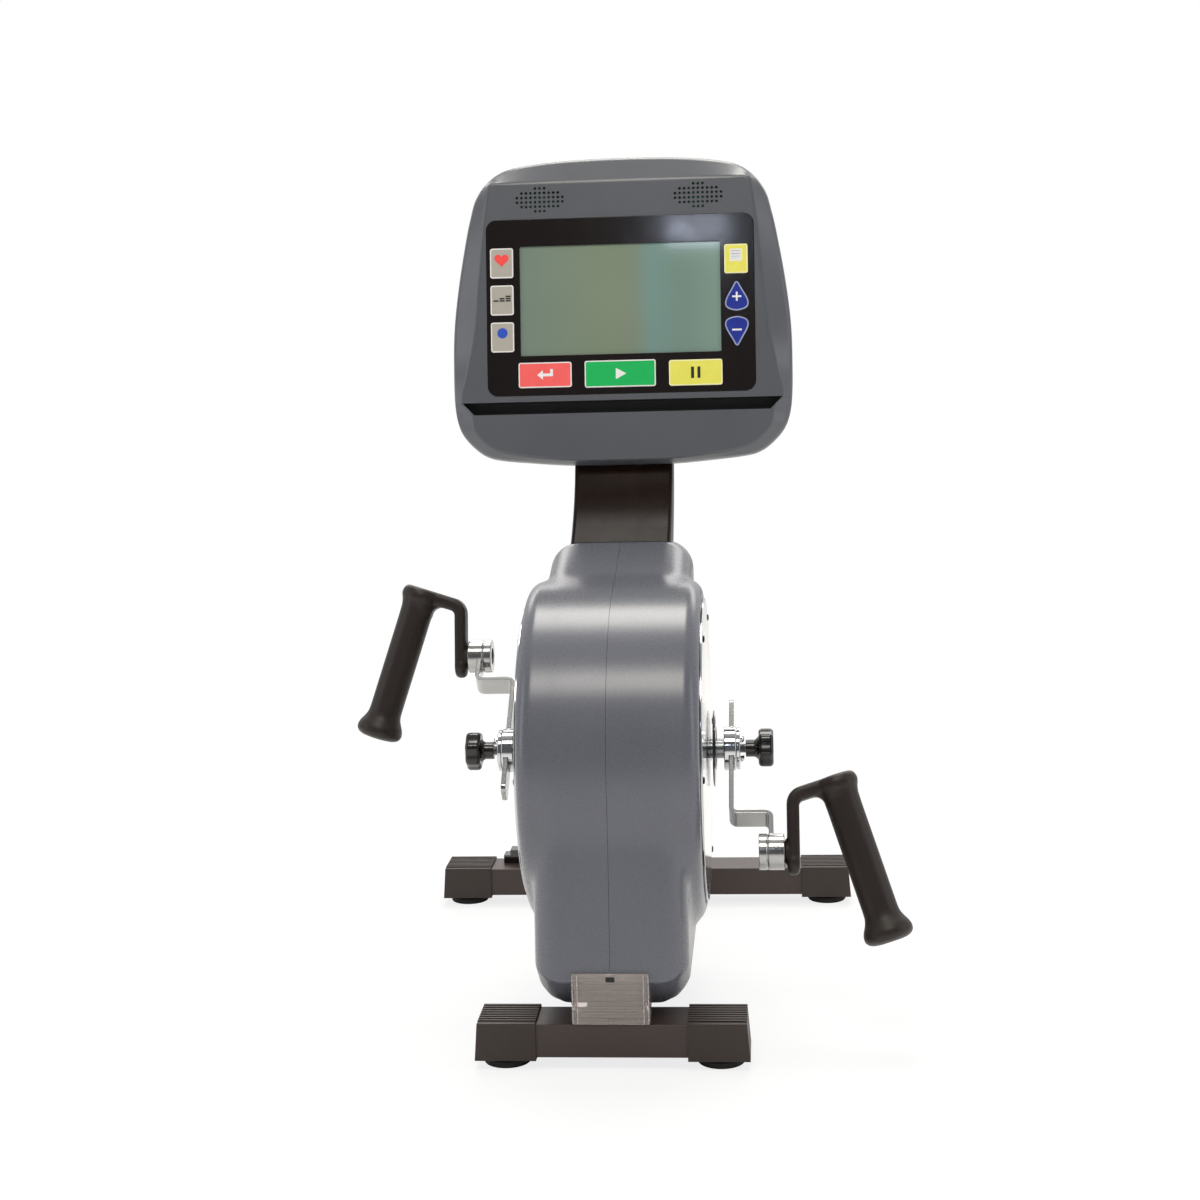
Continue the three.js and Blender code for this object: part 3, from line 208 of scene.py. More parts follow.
def meshPiece(name, places, faces):
    mesh = bpy.data.meshes.new(name)
    mesh.from_pydata([Vector(place) * mm for place in places], [], faces)
    mesh.update()
    piece = bpy.data.objects.new(name, mesh)
    bpy.context.scene.collection.objects.link(piece)
    return piece


# Corners [a, b, radius] of a polygon turned into points, with arcs at the rounded ones
def roundCorners(corners, steps=8):
    points = []
    count = len(corners)
    for i, corner in enumerate(corners):
        here = Vector(corner[:2])
        radius = corner[2] if len(corner) > 2 else 0
        if not radius:
            points.append(tuple(here))
            continue
        before = (Vector(corners[i - 1][:2]) - here).normalized()
        after = (Vector(corners[(i + 1) % count][:2]) - here).normalized()
        half = before.angle(after) / 2
        centre = here + (before + after).normalized() * radius / math.sin(half)
        start = here + before * radius / math.tan(half) - centre
        end = here + after * radius / math.tan(half) - centre
        first = math.atan2(start.y, start.x)
        sweep = (math.atan2(end.y, end.x) - first + math.pi) % (2 * math.pi) - math.pi
        for k in range(steps + 1):
            angle = first + sweep * k / steps
            points.append((centre.x + radius * math.cos(angle), centre.y + radius * math.sin(angle)))
    return points


def roundedBox(width, height, radius, middle=(0, 0), steps=8):
    a, b = middle
    return roundCorners([
        (a - width / 2, b - height / 2, radius), (a + width / 2, b - height / 2, radius),
        (a + width / 2, b + height / 2, radius), (a - width / 2, b + height / 2, radius),
    ], steps)


# A strip of even thickness along a bent line, with round bends
def bentStrip(line, thickness, bend, steps=10):
    places = [Vector(point) for point in line]
    sidesOfStrip = []
    for shift in (thickness / 2, -thickness / 2):
        row = []
        for i, here in enumerate(places):
            ways = []
            if i > 0:
                ways.append((here - places[i - 1]).normalized())
            if i < len(places) - 1:
                ways.append((places[i + 1] - here).normalized())
            mean = sum(ways, Vector((0, 0))).normalized()
            spread = shift / mean.dot(ways[0])
            radius = 0
            if len(ways) == 2:
                turn = ways[0].x * ways[1].y - ways[0].y * ways[1].x
                radius = bend - math.copysign(1, turn) * math.copysign(thickness / 2, shift)
            row.append((here.x - mean.y * spread, here.y + mean.x * spread, radius))
        sidesOfStrip.append(row)
    return roundCorners(sidesOfStrip[0] + sidesOfStrip[1][::-1], steps)


# Where each group of pieces is measured from
layout = {
    "axleY": -115.4, "axleZ": 283.8, "faceY": 49, "faceZ": 660, "faceTilt": 9, "crankLength": 134.6,
    "crankTurn": {"left": -50.2, "right": 129.8}, "handleLean": {"left": 10.6, "right": 18},
}


def turnedPlace(y, z, degrees=0):
    return shift(0, y, z) @ Matrix.Rotation(math.radians(degrees), 4, "X")


atAxle = turnedPlace(layout["axleY"], layout["axleZ"])
atFace = turnedPlace(layout["faceY"], layout["faceZ"], -layout["faceTilt"])
mirrored = {"left": Matrix.Scale(-1, 4, (1, 0, 0)), "right": Matrix.Identity(4)}
atCrank = {side: atAxle @ turnedPlace(0, 0, turn) for side, turn in layout["crankTurn"].items()}
atHandle = {
    side: atCrank[side] @ turnedPlace(0, layout["crankLength"])
    @ turnedPlace(0, 0, -layout["handleLean"][side] - turn)
    for side, turn in layout["crankTurn"].items()
}

# Finishes


def paint(hexColour):
    parts = [int(hexColour[i:i + 2], 16) / 255 for i in (1, 3, 5)]
    return (*[p / 12.92 if p <= 0.04045 else ((p + 0.055) / 1.055) ** 2.4 for p in parts], 1)


# Adds a node; each entry is a property, a socket's value or an output that feeds the socket
def addNode(tree, kind, entries=None):
    node = tree.nodes.new("ShaderNode" + kind)
    for key, value in (entries or {}).items():
        if isinstance(value, bpy.types.NodeSocket):
            tree.links.new(value, node.inputs[key])
        elif isinstance(key, int) or key in node.inputs:
            node.inputs[key].default_value = value
        else:
            setattr(node, key, value)
    return node


def noiseNode(tree, coords, size, **sockets):
    entries = {"Scale": 1 / (size * mm), "Vector": coords, **sockets}
    return addNode(tree, "TexNoise", entries).outputs["Fac"]


def rangeNode(tree, source, spread=(0, 1), into=(0, 1)):
    limits = dict(zip(("From Min", "From Max", "To Min", "To Max"), (*spread, *into)))
    return addNode(tree, "MapRange", {"Value": source, **limits}).outputs["Result"]


def newFinish(name, **sockets):
    material = bpy.data.materials.new(name)
    material.use_nodes = True
    shader = material.node_tree.nodes["Principled BSDF"]
    for key, value in sockets.items():
        shader.inputs[key.replace("_", " ")].default_value = value
    coords = addNode(material.node_tree, "TexCoord")
    return material, material.node_tree, shader, coords.outputs["Object"]


# The fine grain's share in the tone, and the part of each noise that is used
grainFacts = {"fineShare": 0.35, "toneSpan": (0.3, 0.7), "glossSpan": (0.25, 0.75), "bump": 0.5}


# A surface whose colour drifts between two tones, with fine grain in its gloss and relief
def grained(name, first, second, rough, grain, relief, drift, stretch=(1, 1, 1), turn=(0, 0, 0), **sockets):
    g = grainFacts
    material, tree, shader, coords = newFinish(name, **sockets)
    stretched = addNode(tree, "Mapping", {"Scale": stretch, "Rotation": turn, "Vector": coords})
    cloud = noiseNode(tree, coords, drift, Detail=3.0, Roughness=0.55)
    fine = noiseNode(tree, stretched.outputs["Vector"], grain, Detail=2.0, Roughness=0.6)
    both = addNode(tree, "Mix", {"data_type": "FLOAT", 0: g["fineShare"], 2: cloud, 3: fine})
    tone = rangeNode(tree, both.outputs[0], g["toneSpan"])
    colour = addNode(tree, "Mix", {"data_type": "RGBA", 0: tone, 6: paint(first), 7: paint(second)})
    tree.links.new(colour.outputs[2], shader.inputs["Base Color"])
    tree.links.new(rangeNode(tree, fine, g["glossSpan"], rough), shader.inputs["Roughness"])
    if relief:
        bump = addNode(tree, "Bump", {"Strength": g["bump"], "Distance": relief * mm, "Height": fine})
        tree.links.new(bump.outputs["Normal"], shader.inputs["Normal"])
    return material


# A row gives the material's name, two tones, the range of roughness, the sizes of grain, relief and
# drift in millimetres, and other settings
finishRows = {
    # Injection-moulded ABS with a fine spark texture: a quiet satin that softens every highlight
    "housingAbs": ("moulded_abs_housing", "#5b5d65", "#60626b", (0.24, 0.31), 0.9, 0.012, 90, {"IOR": 1.53}),
    "consoleAbs": ("moulded_abs_console", "#53555a", "#575a5f", (0.28, 0.36), 0.8, 0.012, 70, {"IOR": 1.53}),
    # Painted shade for the unlit inner walls of the mouldings, the slot and the holes: ABS made darker and
    # duller than the shells
    "paintedShadeAbs": ("moulded_abs_inner", "#17171a", "#1c1c1f", (0.6, 0.75), 1.2, 0.02, 40, {"IOR": 1.53}),
    # Baked enamel on steel tube: smooth with a slight orange peel, brown-grey
    "enamel": ("baked_enamel_tube", "#352926", "#3b2e2a", (0.34, 0.44), 2.2, 0.03, 80, {
        "IOR": 1.45, "Coat_Weight": 0.1, "Coat_Roughness": 0.2,
    }),
    # Moulded polypropylene end caps: slightly greasy sheen, fine grain
    "capPlastic": ("moulded_polypropylene_cap", "#2b201c", "#312621", (0.45, 0.56), 0.8, 0.02, 50, {
        "IOR": 1.49,
    }),
    # Painted highlight: a pale, half-clear plastic standing for the bright, frosted-looking edges of the
    # clear polycarbonate, where light gathers
    "paintedHighlightEdge": ("polycarbonate_edge", "#cfcbca", "#dcd8d7", (0.2, 0.35), 1.5, 0.01, 12, {
        "IOR": 1.5, "Transmission_Weight": 0.45,
    }),
    # Vulcanised rubber: matt, faintly dusty
    "footRubber": ("vulcanised_rubber_foot", "#1c1816", "#25201e", (0.7, 0.85), 0.7, 0.05, 25, {
        "IOR": 1.52,
    }),
    # Vacuum-metallised plastic: a mirror with a very slight haze and a wave of a fraction of a micron
    "mirrorCover": ("metallised_abs_cover", "#bfc0c2", "#c7c8ca", (0.1, 0.15), 45, 0.04, 120, {
        "Metallic": 1.0,
    }),
    # Chrome plate on turned steel: bright, with faint turning rings left under the plating
    "chromePlate": ("chrome_plate_turned", "#c2c4c6", "#cfd1d3", (0.06, 0.12), 0.8, 0.006, 30, {
        "stretch": (1, 0.06, 0.06), "Metallic": 1.0,
    }),
    # Dip-coated vinyl on steel: dark brown-black, eggshell sheen, slightly uneven skin
    "dipCoat": ("dipped_vinyl_coat", "#1e1511", "#241a14", (0.42, 0.54), 1.4, 0.02, 40, {"IOR": 1.45}),
    # Brown-black ABS, polished but not wet: broad soft bands of light
    "neckAbs": ("polished_abs_neck", "#1a100c", "#1f140f", (0.24, 0.3), 30, 0, 60, {
        "IOR": 1.5, "Specular_IOR_Level": 0.12,
    }),
    # High-gloss black ABS: deep, wet-looking, with a hint of mould flow
    "glossBlack": ("gloss_black_abs", "#0d0b0b", "#141110", (0.08, 0.14), 30, 0.02, 60, {
        "IOR": 1.53, "Coat_Weight": 0.5, "Coat_Roughness": 0.04,
    }),
    # Phenolic knob: glossy black with rubbed lobes
    "knobBlack": ("moulded_phenolic_knob", "#100d0d", "#171413", (0.16, 0.26), 2.0, 0.02, 15, {"IOR": 1.58}),
    # Hard-coated polyester overlay: brown-black print under a glossy film
    "overlayFilm": ("hard_coated_film_overlay", "#120c0b", "#17100e", (0.1, 0.15), 25, 0, 90, {
        "IOR": 1.5, "Coat_Weight": 0.3, "Coat_Roughness": 0.06,
    }),
    # Black screws: oxide finish, slightly oily
    "blackScrew": ("black_oxide_screw", "#26262a", "#333338", (0.3, 0.45), 0.5, 0.01, 8, {"Metallic": 0.9}),
    # Grey cast iron, machined: fine pits and a dull shine
    "castIron": ("machined_cast_iron", "#45474a", "#55575b", (0.35, 0.55), 1.1, 0.06, 20, {
        "Metallic": 0.95,
    }),
    # Zinc-plated steel: pale, slightly clouded
    "zincSteel": ("zinc_plated_steel", "#8d9194", "#a3a6a8", (0.25, 0.4), 1.0, 0.01, 15, {"Metallic": 1.0}),
    # Ribbed drive belt: black neoprene
    "beltRubber": ("neoprene_belt", "#141314", "#1c1a1b", (0.6, 0.75), 0.6, 0.05, 20, {"IOR": 1.52}),
    # Glass-epoxy board under green solder mask: gloss with the weave showing through
    "solderMask": ("solder_mask_board", "#15502f", "#1b6239", (0.25, 0.4), 0.8, 0.02, 12, {"IOR": 1.55}),
}
finishes = {key: grained(*facts[:-1], **facts[-1]) for key, facts in finishRows.items()}
# Nickel-plated flat bar, polished along its length: soft streaks in the gloss
for side, turn in layout["crankTurn"].items():
    finishes[side + "Bar"] = grained(
        "polished_nickel_bar_" + side, "#a5a5a4", "#b2b2b1", (0.14, 0.26), 0.6, 0.008, 40,
        stretch=(1, 1, 0.04), turn=(math.radians(-turn), 0, 0), Metallic=1.0,
    )
# Silicone key caps with a printed, lacquered face: two tones, roughness and drift for each colour
keyFaces = {
    "Grey": ("#a8a298", "#afa99f", (0.38, 0.5), 9), "Red": ("#f25c5a", "#f86663", (0.38, 0.5), 12),
    "Green": ("#00ae54", "#02b85b", (0.38, 0.5), 12), "Yellow": ("#e2dc57", "#e9e362", (0.38, 0.5), 12),
    "Blue": ("#152787", "#1a2f99", (0.3, 0.42), 9),
}
for colour, (first, second, rough, drift) in keyFaces.items():
    name = "silicone_key_" + colour.lower()
    finishes["key" + colour] = grained(name, first, second, rough, 0.6, 0.01, drift, IOR=1.45)
# Screen-printed inks on the keys: flat, slightly thicker at the edge
keyInks = {
    "White": ("white", "#e6e4df", "#efeeea"), "Pale": ("pale_yellow", "#f4f2b4", "#f8f6c4"),
    "Steel": ("blue_grey", "#9aa4c4", "#a6b0cf"), "Red": ("red", "#f0403b", "#f64a44"),
    "Black": ("black", "#181614", "#221f1d"), "Blue": ("blue", "#1846b4", "#1c4fc2"),
}
for ink, (word, first, second) in keyInks.items():
    finishes["ink" + ink] = grained("printed_ink_" + word, first, second, (0.45, 0.6), 0.5, 0.005, 6)


# Clear polycarbonate, moulded and faintly smoked: what is behind shows, and each rib has a bright edge
smokeFacts = {"tones": ("#f3e7df", "#f8eee8"), "drift": 40, "rough": (0.02, 0.06)}


def smokedClear():
    first, second = [paint(tone) for tone in smokeFacts["tones"]]
    material, tree, shader, coords = newFinish(
        "smoked_polycarbonate", Transmission_Weight=0.87, IOR=1.5, Specular_IOR_Level=0.8,
    )
    haze = noiseNode(tree, coords, smokeFacts["drift"], Detail=1.0)
    tint = addNode(tree, "Mix", {"data_type": "RGBA", 0: haze, 6: first, 7: second})
    tree.links.new(tint.outputs[2], shader.inputs["Base Color"])
    tree.links.new(rangeNode(tree, haze, into=smokeFacts["rough"]), shader.inputs["Roughness"])
    return material


# Reflective liquid-crystal display: grey-green under a thin window, its colour across the width partly its
# own tone and partly a painted reflection of uneven light from the side
displayFacts = {
    "halfWidth": 0.115, "toneAndReflectionStops": ((0.46, "#7e8c74"), (0.56, "#7d8b77"), (0.66, "#74938c"), (0.8, "#748e83")),
    "toneAndReflectionEnds": ("#76877a", "#7c978b"), "shade": "#eef1ef", "cloud": 90, "grain": 0.6, "rough": (0.3, 0.4),
}


def crystalDisplay():
    d = displayFacts
    material, tree, shader, coords = newFinish(
        "liquid_crystal_display_painted_reflection", Coat_Weight=0.8, Coat_Roughness=0.05,
    )
    # The colour ramp across the width is partly the display's own tone and partly a painted reflection of
    # the uneven side light
    across = addNode(tree, "SeparateXYZ", {"Vector": coords}).outputs["X"]
    share = rangeNode(tree, across, (-d["halfWidth"], d["halfWidth"]))
    tone = addNode(tree, "ValToRGB", {"Fac": share})
    tone.color_ramp.interpolation = "EASE"
    toneAndReflectionStops = tone.color_ramp.elements
    for place, shown in d["toneAndReflectionStops"]:
        toneAndReflectionStops.new(place).color = paint(shown)
    toneAndReflectionStops[0].color, toneAndReflectionStops[len(toneAndReflectionStops) - 1].color = [paint(shown) for shown in d["toneAndReflectionEnds"]]
    shade = addNode(tree, "Mix", {
        "data_type": "RGBA", "blend_type": "MULTIPLY", 0: noiseNode(tree, coords, d["cloud"], Detail=1.0),
        6: tone.outputs["Color"], 7: paint(d["shade"]),
    })
    gloss = rangeNode(tree, noiseNode(tree, coords, d["grain"]), into=d["rough"])
    tree.links.new(shade.outputs[2], shader.inputs["Base Color"])
    tree.links.new(gloss, shader.inputs["Roughness"])
    return material


finishes["smokedClear"] = smokedClear()
finishes["display"] = crystalDisplay()


def coat(piece, finish):
    piece.data.materials.append(finishes[finish])


def finishPiece(piece, finish, body, slotName, *replaced, smooth=32):
    pick(piece)
    bpy.ops.object.shade_smooth_by_angle(angle=math.radians(smooth))
    applyModifier(piece, "WEIGHTED_NORMAL", keep_sharp=True, weight=80)
    if finish:
        piece.data.materials.clear()
        coat(piece, finish)
    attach(piece, body)
    if replaced:
        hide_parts(*replaced)
    return piece


# A merged copy of a CAD solid with its flats made whole
def mergedCopy(node):
    piece = copyPiece(cadNodes[node], node + "_dressed")
    piece.parent = None
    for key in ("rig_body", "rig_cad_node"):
        del piece[key]
    pick(piece)
    with editing("SELECT"):
        bpy.ops.mesh.remove_doubles(threshold=0.001 * mm)
        bpy.ops.mesh.customdata_custom_splitnormals_clear()
        bpy.ops.mesh.dissolve_limited(angle_limit=math.radians(1))
    return piece


def softenedCopy(node, finish, body, slotName, edge=0.6, segments=2, smooth=32):
    piece = mergedCopy(node)
    if edge:
        softenEdges(piece, edge, segments)
    return finishPiece(piece, finish, body, slotName, node, smooth=smooth)


print("finishes ready:", len(finishes))

# Camera, floor and light
studio = {
    "cameraAt": (0.1631, -2.2184, 0.7357), "heading": 4.883, "pitch": 7.808, "roll": 1.561, "lens": 60,
    "sensor": 36, "clipEnd": 100, "worldLevel": 0.42, "roomSpan": (-0.6, 0.5), "roomLevels": (0.14, 0.85),
    "floorSize": 30, "floorTone": 0.93, "floorSpan": (0.45, 1.2), "floorWhite": 0.8,
}
white = (1, 1, 1, 1)


def setCamera():
    s = studio
    heading, pitch, roll = [math.radians(s[key]) for key in ("heading", "pitch", "roll")]
    level = math.cos(pitch)
    ahead = Vector((-math.sin(heading) * level, math.cos(heading) * level, -math.sin(pitch)))
    right = Vector((math.cos(heading), math.sin(heading), 0))
    up = right.cross(ahead)
    across = right * math.cos(roll) - up * math.sin(roll)
    upwards = right * math.sin(roll) + up * math.cos(roll)
    turn = Matrix((across, upwards, -ahead)).transposed().to_4x4()
    data = bpy.data.cameras.new("camera")
    data.sensor_width = s["sensor"]
    data.lens = s["lens"]
    data.clip_end = s["clipEnd"]
    camera = bpy.data.objects.new("camera", data)
    camera.matrix_world = Matrix.Translation(s["cameraAt"]) @ turn
    bpy.context.scene.collection.objects.link(camera)
    bpy.context.scene.camera = camera


# Each lamp: place, what it faces, width and height in metres, power, tint
lamps = {
    "frontCeilingPanel": ((0, -1.85, 2.9), (0, -0.25, 0.4), 1.5, 0.75, 37, "#fffaf0"),
    "backCeilingPanel": ((0, 0.8, 2.9), (0, -0.2, 0.44), 1.3, 1.1, 47, "#fffcf4"),
    "backWallPanel": ((0, 3.4, 2.5), (0, -0.05, 0.48), 5.2, 1.3, 64, "#fffaf6"),
    "smallWindow": ((-0.03, -3.27, 2.1), (0.1, 0, 0.84), 0.17, 0.09, 0.7, "#dfeaff"),
    "leftPanel": ((-2.5, -0.9, 1.2), (0, 0, 0.5), 0.8, 2.0, 11, "#f4f7ff"),
    "rightPanel": ((2.6, -0.7, 1.2), (0, 0, 0.5), 0.7, 2.0, 10, "#f4f7ff"),
}


def setLights():
    for name, (place, target, width, height, power, tint) in lamps.items():
        data = bpy.data.lights.new(name, "AREA")
        data.shape = "RECTANGLE"
        data.size, data.size_y = width, height
        data.energy = power
        data.color = paint(tint)[:3]
        lamp = bpy.data.objects.new(name, data)
        lamp.location = place
        lamp.visible_camera = False
        lamp.rotation_euler = (Vector(target) - Vector(place)).to_track_quat("-Z", "Y").to_euler()
        bpy.context.scene.collection.objects.link(lamp)


# Marks the rays that the camera sends, straight on or through clear plastic
def directRays(tree):
    path = addNode(tree, "LightPath")
    seen = addNode(tree, "Math", {
        "operation": "MAXIMUM", 0: path.outputs["Is Camera Ray"], 1: path.outputs["Is Transmission Ray"],
    })
    return path, seen.outputs[0]


# White to the camera and through clear plastic. Gloss sees grey that grows lighter behind the machine
def setWorld():
    s = studio
    world = bpy.data.worlds.new("studio_air")
    bpy.context.scene.world = world
    world.use_nodes = True
    tree = world.node_tree
    tree.nodes.clear()
    path, seen = directRays(tree)
    ways = addNode(tree, "SeparateXYZ", {"Vector": addNode(tree, "TexCoord").outputs["Generated"]})
    room = rangeNode(tree, ways.outputs["Y"], s["roomSpan"], s["roomLevels"])
    level = addNode(tree, "Mix", {
        "data_type": "FLOAT", 0: path.outputs["Is Glossy Ray"], 2: s["worldLevel"], 3: room,
    })
    lit = addNode(tree, "Background", {"Color": white, "Strength": level.outputs[0]})
    paper = addNode(tree, "Background", {"Color": white, "Strength": 1.0})
    both = addNode(tree, "MixShader", {0: seen, 1: lit.outputs[0], 2: paper.outputs[0]})
    addNode(tree, "OutputWorld", {"Surface": both.outputs[0]})


# Paper that keeps the shadow near the machine and fades to plain white further out
def setFloor():
    s = studio
    clearSelection()
    bpy.ops.mesh.primitive_plane_add(size=s["floorSize"])
    floor = bpy.context.object
    floor.name = "floor"
    material, tree, shader, coords = newFinish("seamless_paper", Roughness=0.9)
    shader.inputs["Base Color"].default_value = (*[s["floorTone"]] * 3, 1)
    path, seen = directRays(tree)
    reach = addNode(tree, "VectorMath", {"operation": "LENGTH", 0: coords})
    far = rangeNode(tree, reach.outputs["Value"], s["floorSpan"], (s["floorWhite"], 1.0))
    share = addNode(tree, "Math", {"operation": "MULTIPLY", 0: far, 1: seen})
    glow = addNode(tree, "Emission", {"Color": white, "Strength": 1.0})
    both = addNode(tree, "MixShader", {0: share.outputs[0], 1: shader.outputs[0], 2: glow.outputs[0]})
    out = next(node for node in tree.nodes if node.type == "OUTPUT_MATERIAL")
    tree.links.new(both.outputs[0], out.inputs["Surface"])
    floor.data.materials.append(material)


bpy.context.scene.view_settings.view_transform = "Standard"
setCamera()
setLights()
setWorld()
setFloor()
print("camera, floor and light set")

# Base
baseSizes = {
    "footRadius": 24, "footNeck": 17, "footHeight": 10.0, "footSoft": 1.7, "footLip": 3.5,
    "footX": {"front": 108.1, "rear": 230.7}, "barY": {"front": -286.85, "rear": 286.85},
}


def makeBase():
    s = baseSizes
    radius, height, soft = s["footRadius"], s["footHeight"], s["footSoft"]
    profile = roundCorners([
        (0, 0), (0, radius - 1, soft), (soft, radius, soft), (height - s["footLip"], radius, soft),
        (height, s["footNeck"]), (height, 0),
    ], 4)
    upright = Matrix.Rotation(math.radians(-90), 4, "Y")
    for place, barY in s["barY"].items():
        softenedCopy(f"{place}_base_tube", "enamel", "frame", "frame", 2.2, 4)
        softenedCopy(f"{place}_base_bolt", "zincSteel", "frame", "steel", 0.4)
        for side, sign in sides.items():
            softenedCopy(f"{place}_{side}_end_cap", "capPlastic", "frame", "rubber", 0.55)
            foot = spinProfile(f"{place}_{side}_rubber_foot", profile, 48)
            moveTo(foot, shift(sign * s["footX"][place], barY, 0) @ upright)
            finishPiece(foot, "footRubber", "frame", "rubber", f"{place}_{side}_foot")
    softenedCopy("spine_tube", "enamel", "frame", "frame", 1.6, 3)
    softenedCopy("power_inlet", "glossBlack", "frame", "gloss", 0.6)


makeBase()
print("base made")

# Housing: a narrow body that blends into a wide round drum, with places measured from the axle
housingSizes = {
    "drumRadius": 182, "bodyHalf": 78, "drumHalf": 92, "bodyEdge": 32, "drumEdge": 17, "wall": 3,
    "lowCorner": 42, "frontFoot": (-196.6, -193.8), "floor": -229.5, "floorFront": -153.6, "back": 184,
    "backTop": 206, "backFloor": 128, "backDrop": -60, "backCorner": 36, "neckFoot": (91.4, 214.2),
    "shoulder": 15.6, "sideHole": 144, "seam": 0.15, "blend": (9, 15), "throughDrum": 6,
    "lowInset": 3, "blendTop": 60, "blendFall": 220, "ring": 120, "reach": 260.0,
    "cornersBelow": -180, "rim": 0.7,
}
# The mast's line through the housing and the post's hole, each with its clearance
holeSizes = {
    "mastLine": [(12.5, 22), (112, 180), (192.2, 270.3), (211.6, 393)], "mastDepth": 20.6, "mastBend": 20,
    "mastHalf": 28.3, "post": (36.6, 50.6, 4), "postFrom": -300, "postTo": -140,
}


# Signed distance from points to an outline, both in two dimensions; less than nothing is inside
def outlineDistance(a, b, outline):
    best = np.full(a.shape, 1e9)
    inside = np.zeros(a.shape, bool)
    for (a0, b0), (a1, b1) in zip(outline, outline[1:] + outline[:1]):
        da, db = a1 - a0, b1 - b0
        along = np.clip(((a - a0) * da + (b - b0) * db) / max(da * da + db * db, 1e-9), 0, 1)
        best = np.minimum(best, np.hypot(a - a0 - along * da, b - b0 - along * db))
        if db:
            inside ^= ((b0 > b) != (b1 > b)) & (a < da * (b - b0) / db + a0)
    return np.where(inside, -best, best)


def bodyOutline():
    s = housingSizes
    radius = s["drumRadius"] - s["throughDrum"]
    footY, footZ = s["frontFoot"]
    first = math.atan2(footZ, footY) + 2 * math.pi - math.acos(radius / math.hypot(footY, footZ))
    last = math.pi / 2 + math.radians(s["shoulder"])
    turns = [first + (last - first) * i / 24 for i in range(25)]
    arc = [(radius * math.cos(turn), radius * math.sin(turn)) for turn in turns]
    corner = s["backCorner"]
    return roundCorners([
        (footY, footZ, 5), *arc, s["neckFoot"], (s["back"], s["backTop"], corner),
        (s["back"], s["backDrop"], corner), (s["backFloor"], s["floor"], corner),
        (s["floorFront"], s["floor"], 5),
    ], 8)


def housingDistance(x, y, z, outline):
    s = housingSizes
    rounded = lambda a, b, r: np.hypot(np.maximum(a + r, 0), np.maximum(b + r, 0)) + np.minimum(
        np.maximum(a, b) + r, 0) - r
    body = rounded(outlineDistance(y, z, outline), np.abs(x) - s["bodyHalf"], s["bodyEdge"])
    front = rounded(s["floor"] - z, np.abs(x) - s["bodyHalf"] - s["lowInset"], s["lowCorner"])
    body = np.maximum(body, front)
    drum = rounded(np.hypot(y, z) - s["drumRadius"], np.abs(x) - s["drumHalf"], s["drumEdge"])
    low = np.clip((s["blendTop"] - z) / s["blendFall"], 0, 1)
    blend = s["blend"][0] + (s["blend"][1] - s["blend"][0]) * low
    near = np.maximum(blend - np.abs(body - drum), 0) / blend
    return np.minimum(body, drum) - near * near * blend / 4


# The half surface on +X, found along rays from a ring inside the drum, as rows round the axle
def housingGrid(around=360, across=64):
    s = housingSizes
    outline = bodyOutline()
    start = s["ring"]
    corners = [math.atan2(b, a) for a, b in outline if b < s["cornersBelow"]]
    turns = np.sort(np.unique(np.round(np.concatenate([
        np.linspace(-math.pi, math.pi, around, endpoint=False), corners,
    ]), 4)))
    lift = np.linspace(0, math.atan2(s["drumHalf"], s["sideHole"] - start), 200)
    turn, rise = np.meshgrid(turns, lift, indexing="ij")
    near, far = np.zeros(turn.shape), np.full(turn.shape, s["reach"])
    for step in range(17):
        middle = (near + far) / 2
        radius = start + middle * np.cos(rise)
        reach = housingDistance(
            middle * np.sin(rise), radius * np.cos(turn), radius * np.sin(turn), outline,
        )
        near, far = np.where(reach < 0, middle, near), np.where(reach < 0, far, middle)
    x, radius = near * np.sin(rise), start + near * np.cos(rise)
    rows = []
    for i in range(len(turns)):
        length = np.concatenate([[0], np.cumsum(np.hypot(np.diff(x[i]), np.diff(radius[i])))])
        spots = np.linspace(0, length[-1], across)
        rows.append((np.interp(spots, length, x[i]), np.interp(spots, length, radius[i])))
    alongX = np.array([row[0] for row in rows])
    out = np.array([row[1] for row in rows])
    return alongX, out * np.cos(turns)[:, None], out * np.sin(turns)[:, None]


def gridFaces(rows, columns):
    faces = []
    for i in range(rows):
        here, after = i * columns, (i + 1) % rows * columns
        faces += [(here + j, here + j + 1, after + j + 1, after + j) for j in range(columns - 1)]
    return faces


housingX, housingY, housingZ = housingGrid()


def housingCutters():
    h = holeSizes
    strip = bentStrip(h["mastLine"], h["mastDepth"], h["mastBend"])
    mast = pushOutline("mast_hole", "x", strip, -h["mastHalf"], h["mastHalf"])
    post = pushOutline("post_hole", "z", roundedBox(*h["post"]), h["postFrom"], h["postTo"])
    return joinPieces(moveTo(mast, atAxle), moveTo(post, atAxle))


def makeHousing():
    rows, columns = housingX.shape
    for side in sides:
        places = np.stack([
            np.maximum(housingX, housingSizes["seam"]), housingY, housingZ,
        ], axis=2).reshape(-1, 3)
        shell = moveTo(meshPiece(f"housing_{side}_moulding", places, gridFaces(rows, columns)), atAxle)
        faceOutwards(shell)
        if side == "left":
            moveTo(shell, mirrored["left"])
        applyModifier(
            shell, "SOLIDIFY", thickness=housingSizes["wall"] * mm, offset=-1, use_even_offset=True,
        )
        softenEdges(shell, housingSizes["rim"], 2, 60)
        carve(shell, housingCutters())
        finishPiece(shell, "housingAbs", "frame", "housing", f"housing_{side}_shell", smooth=40)


makeHousing()
print("housing made")

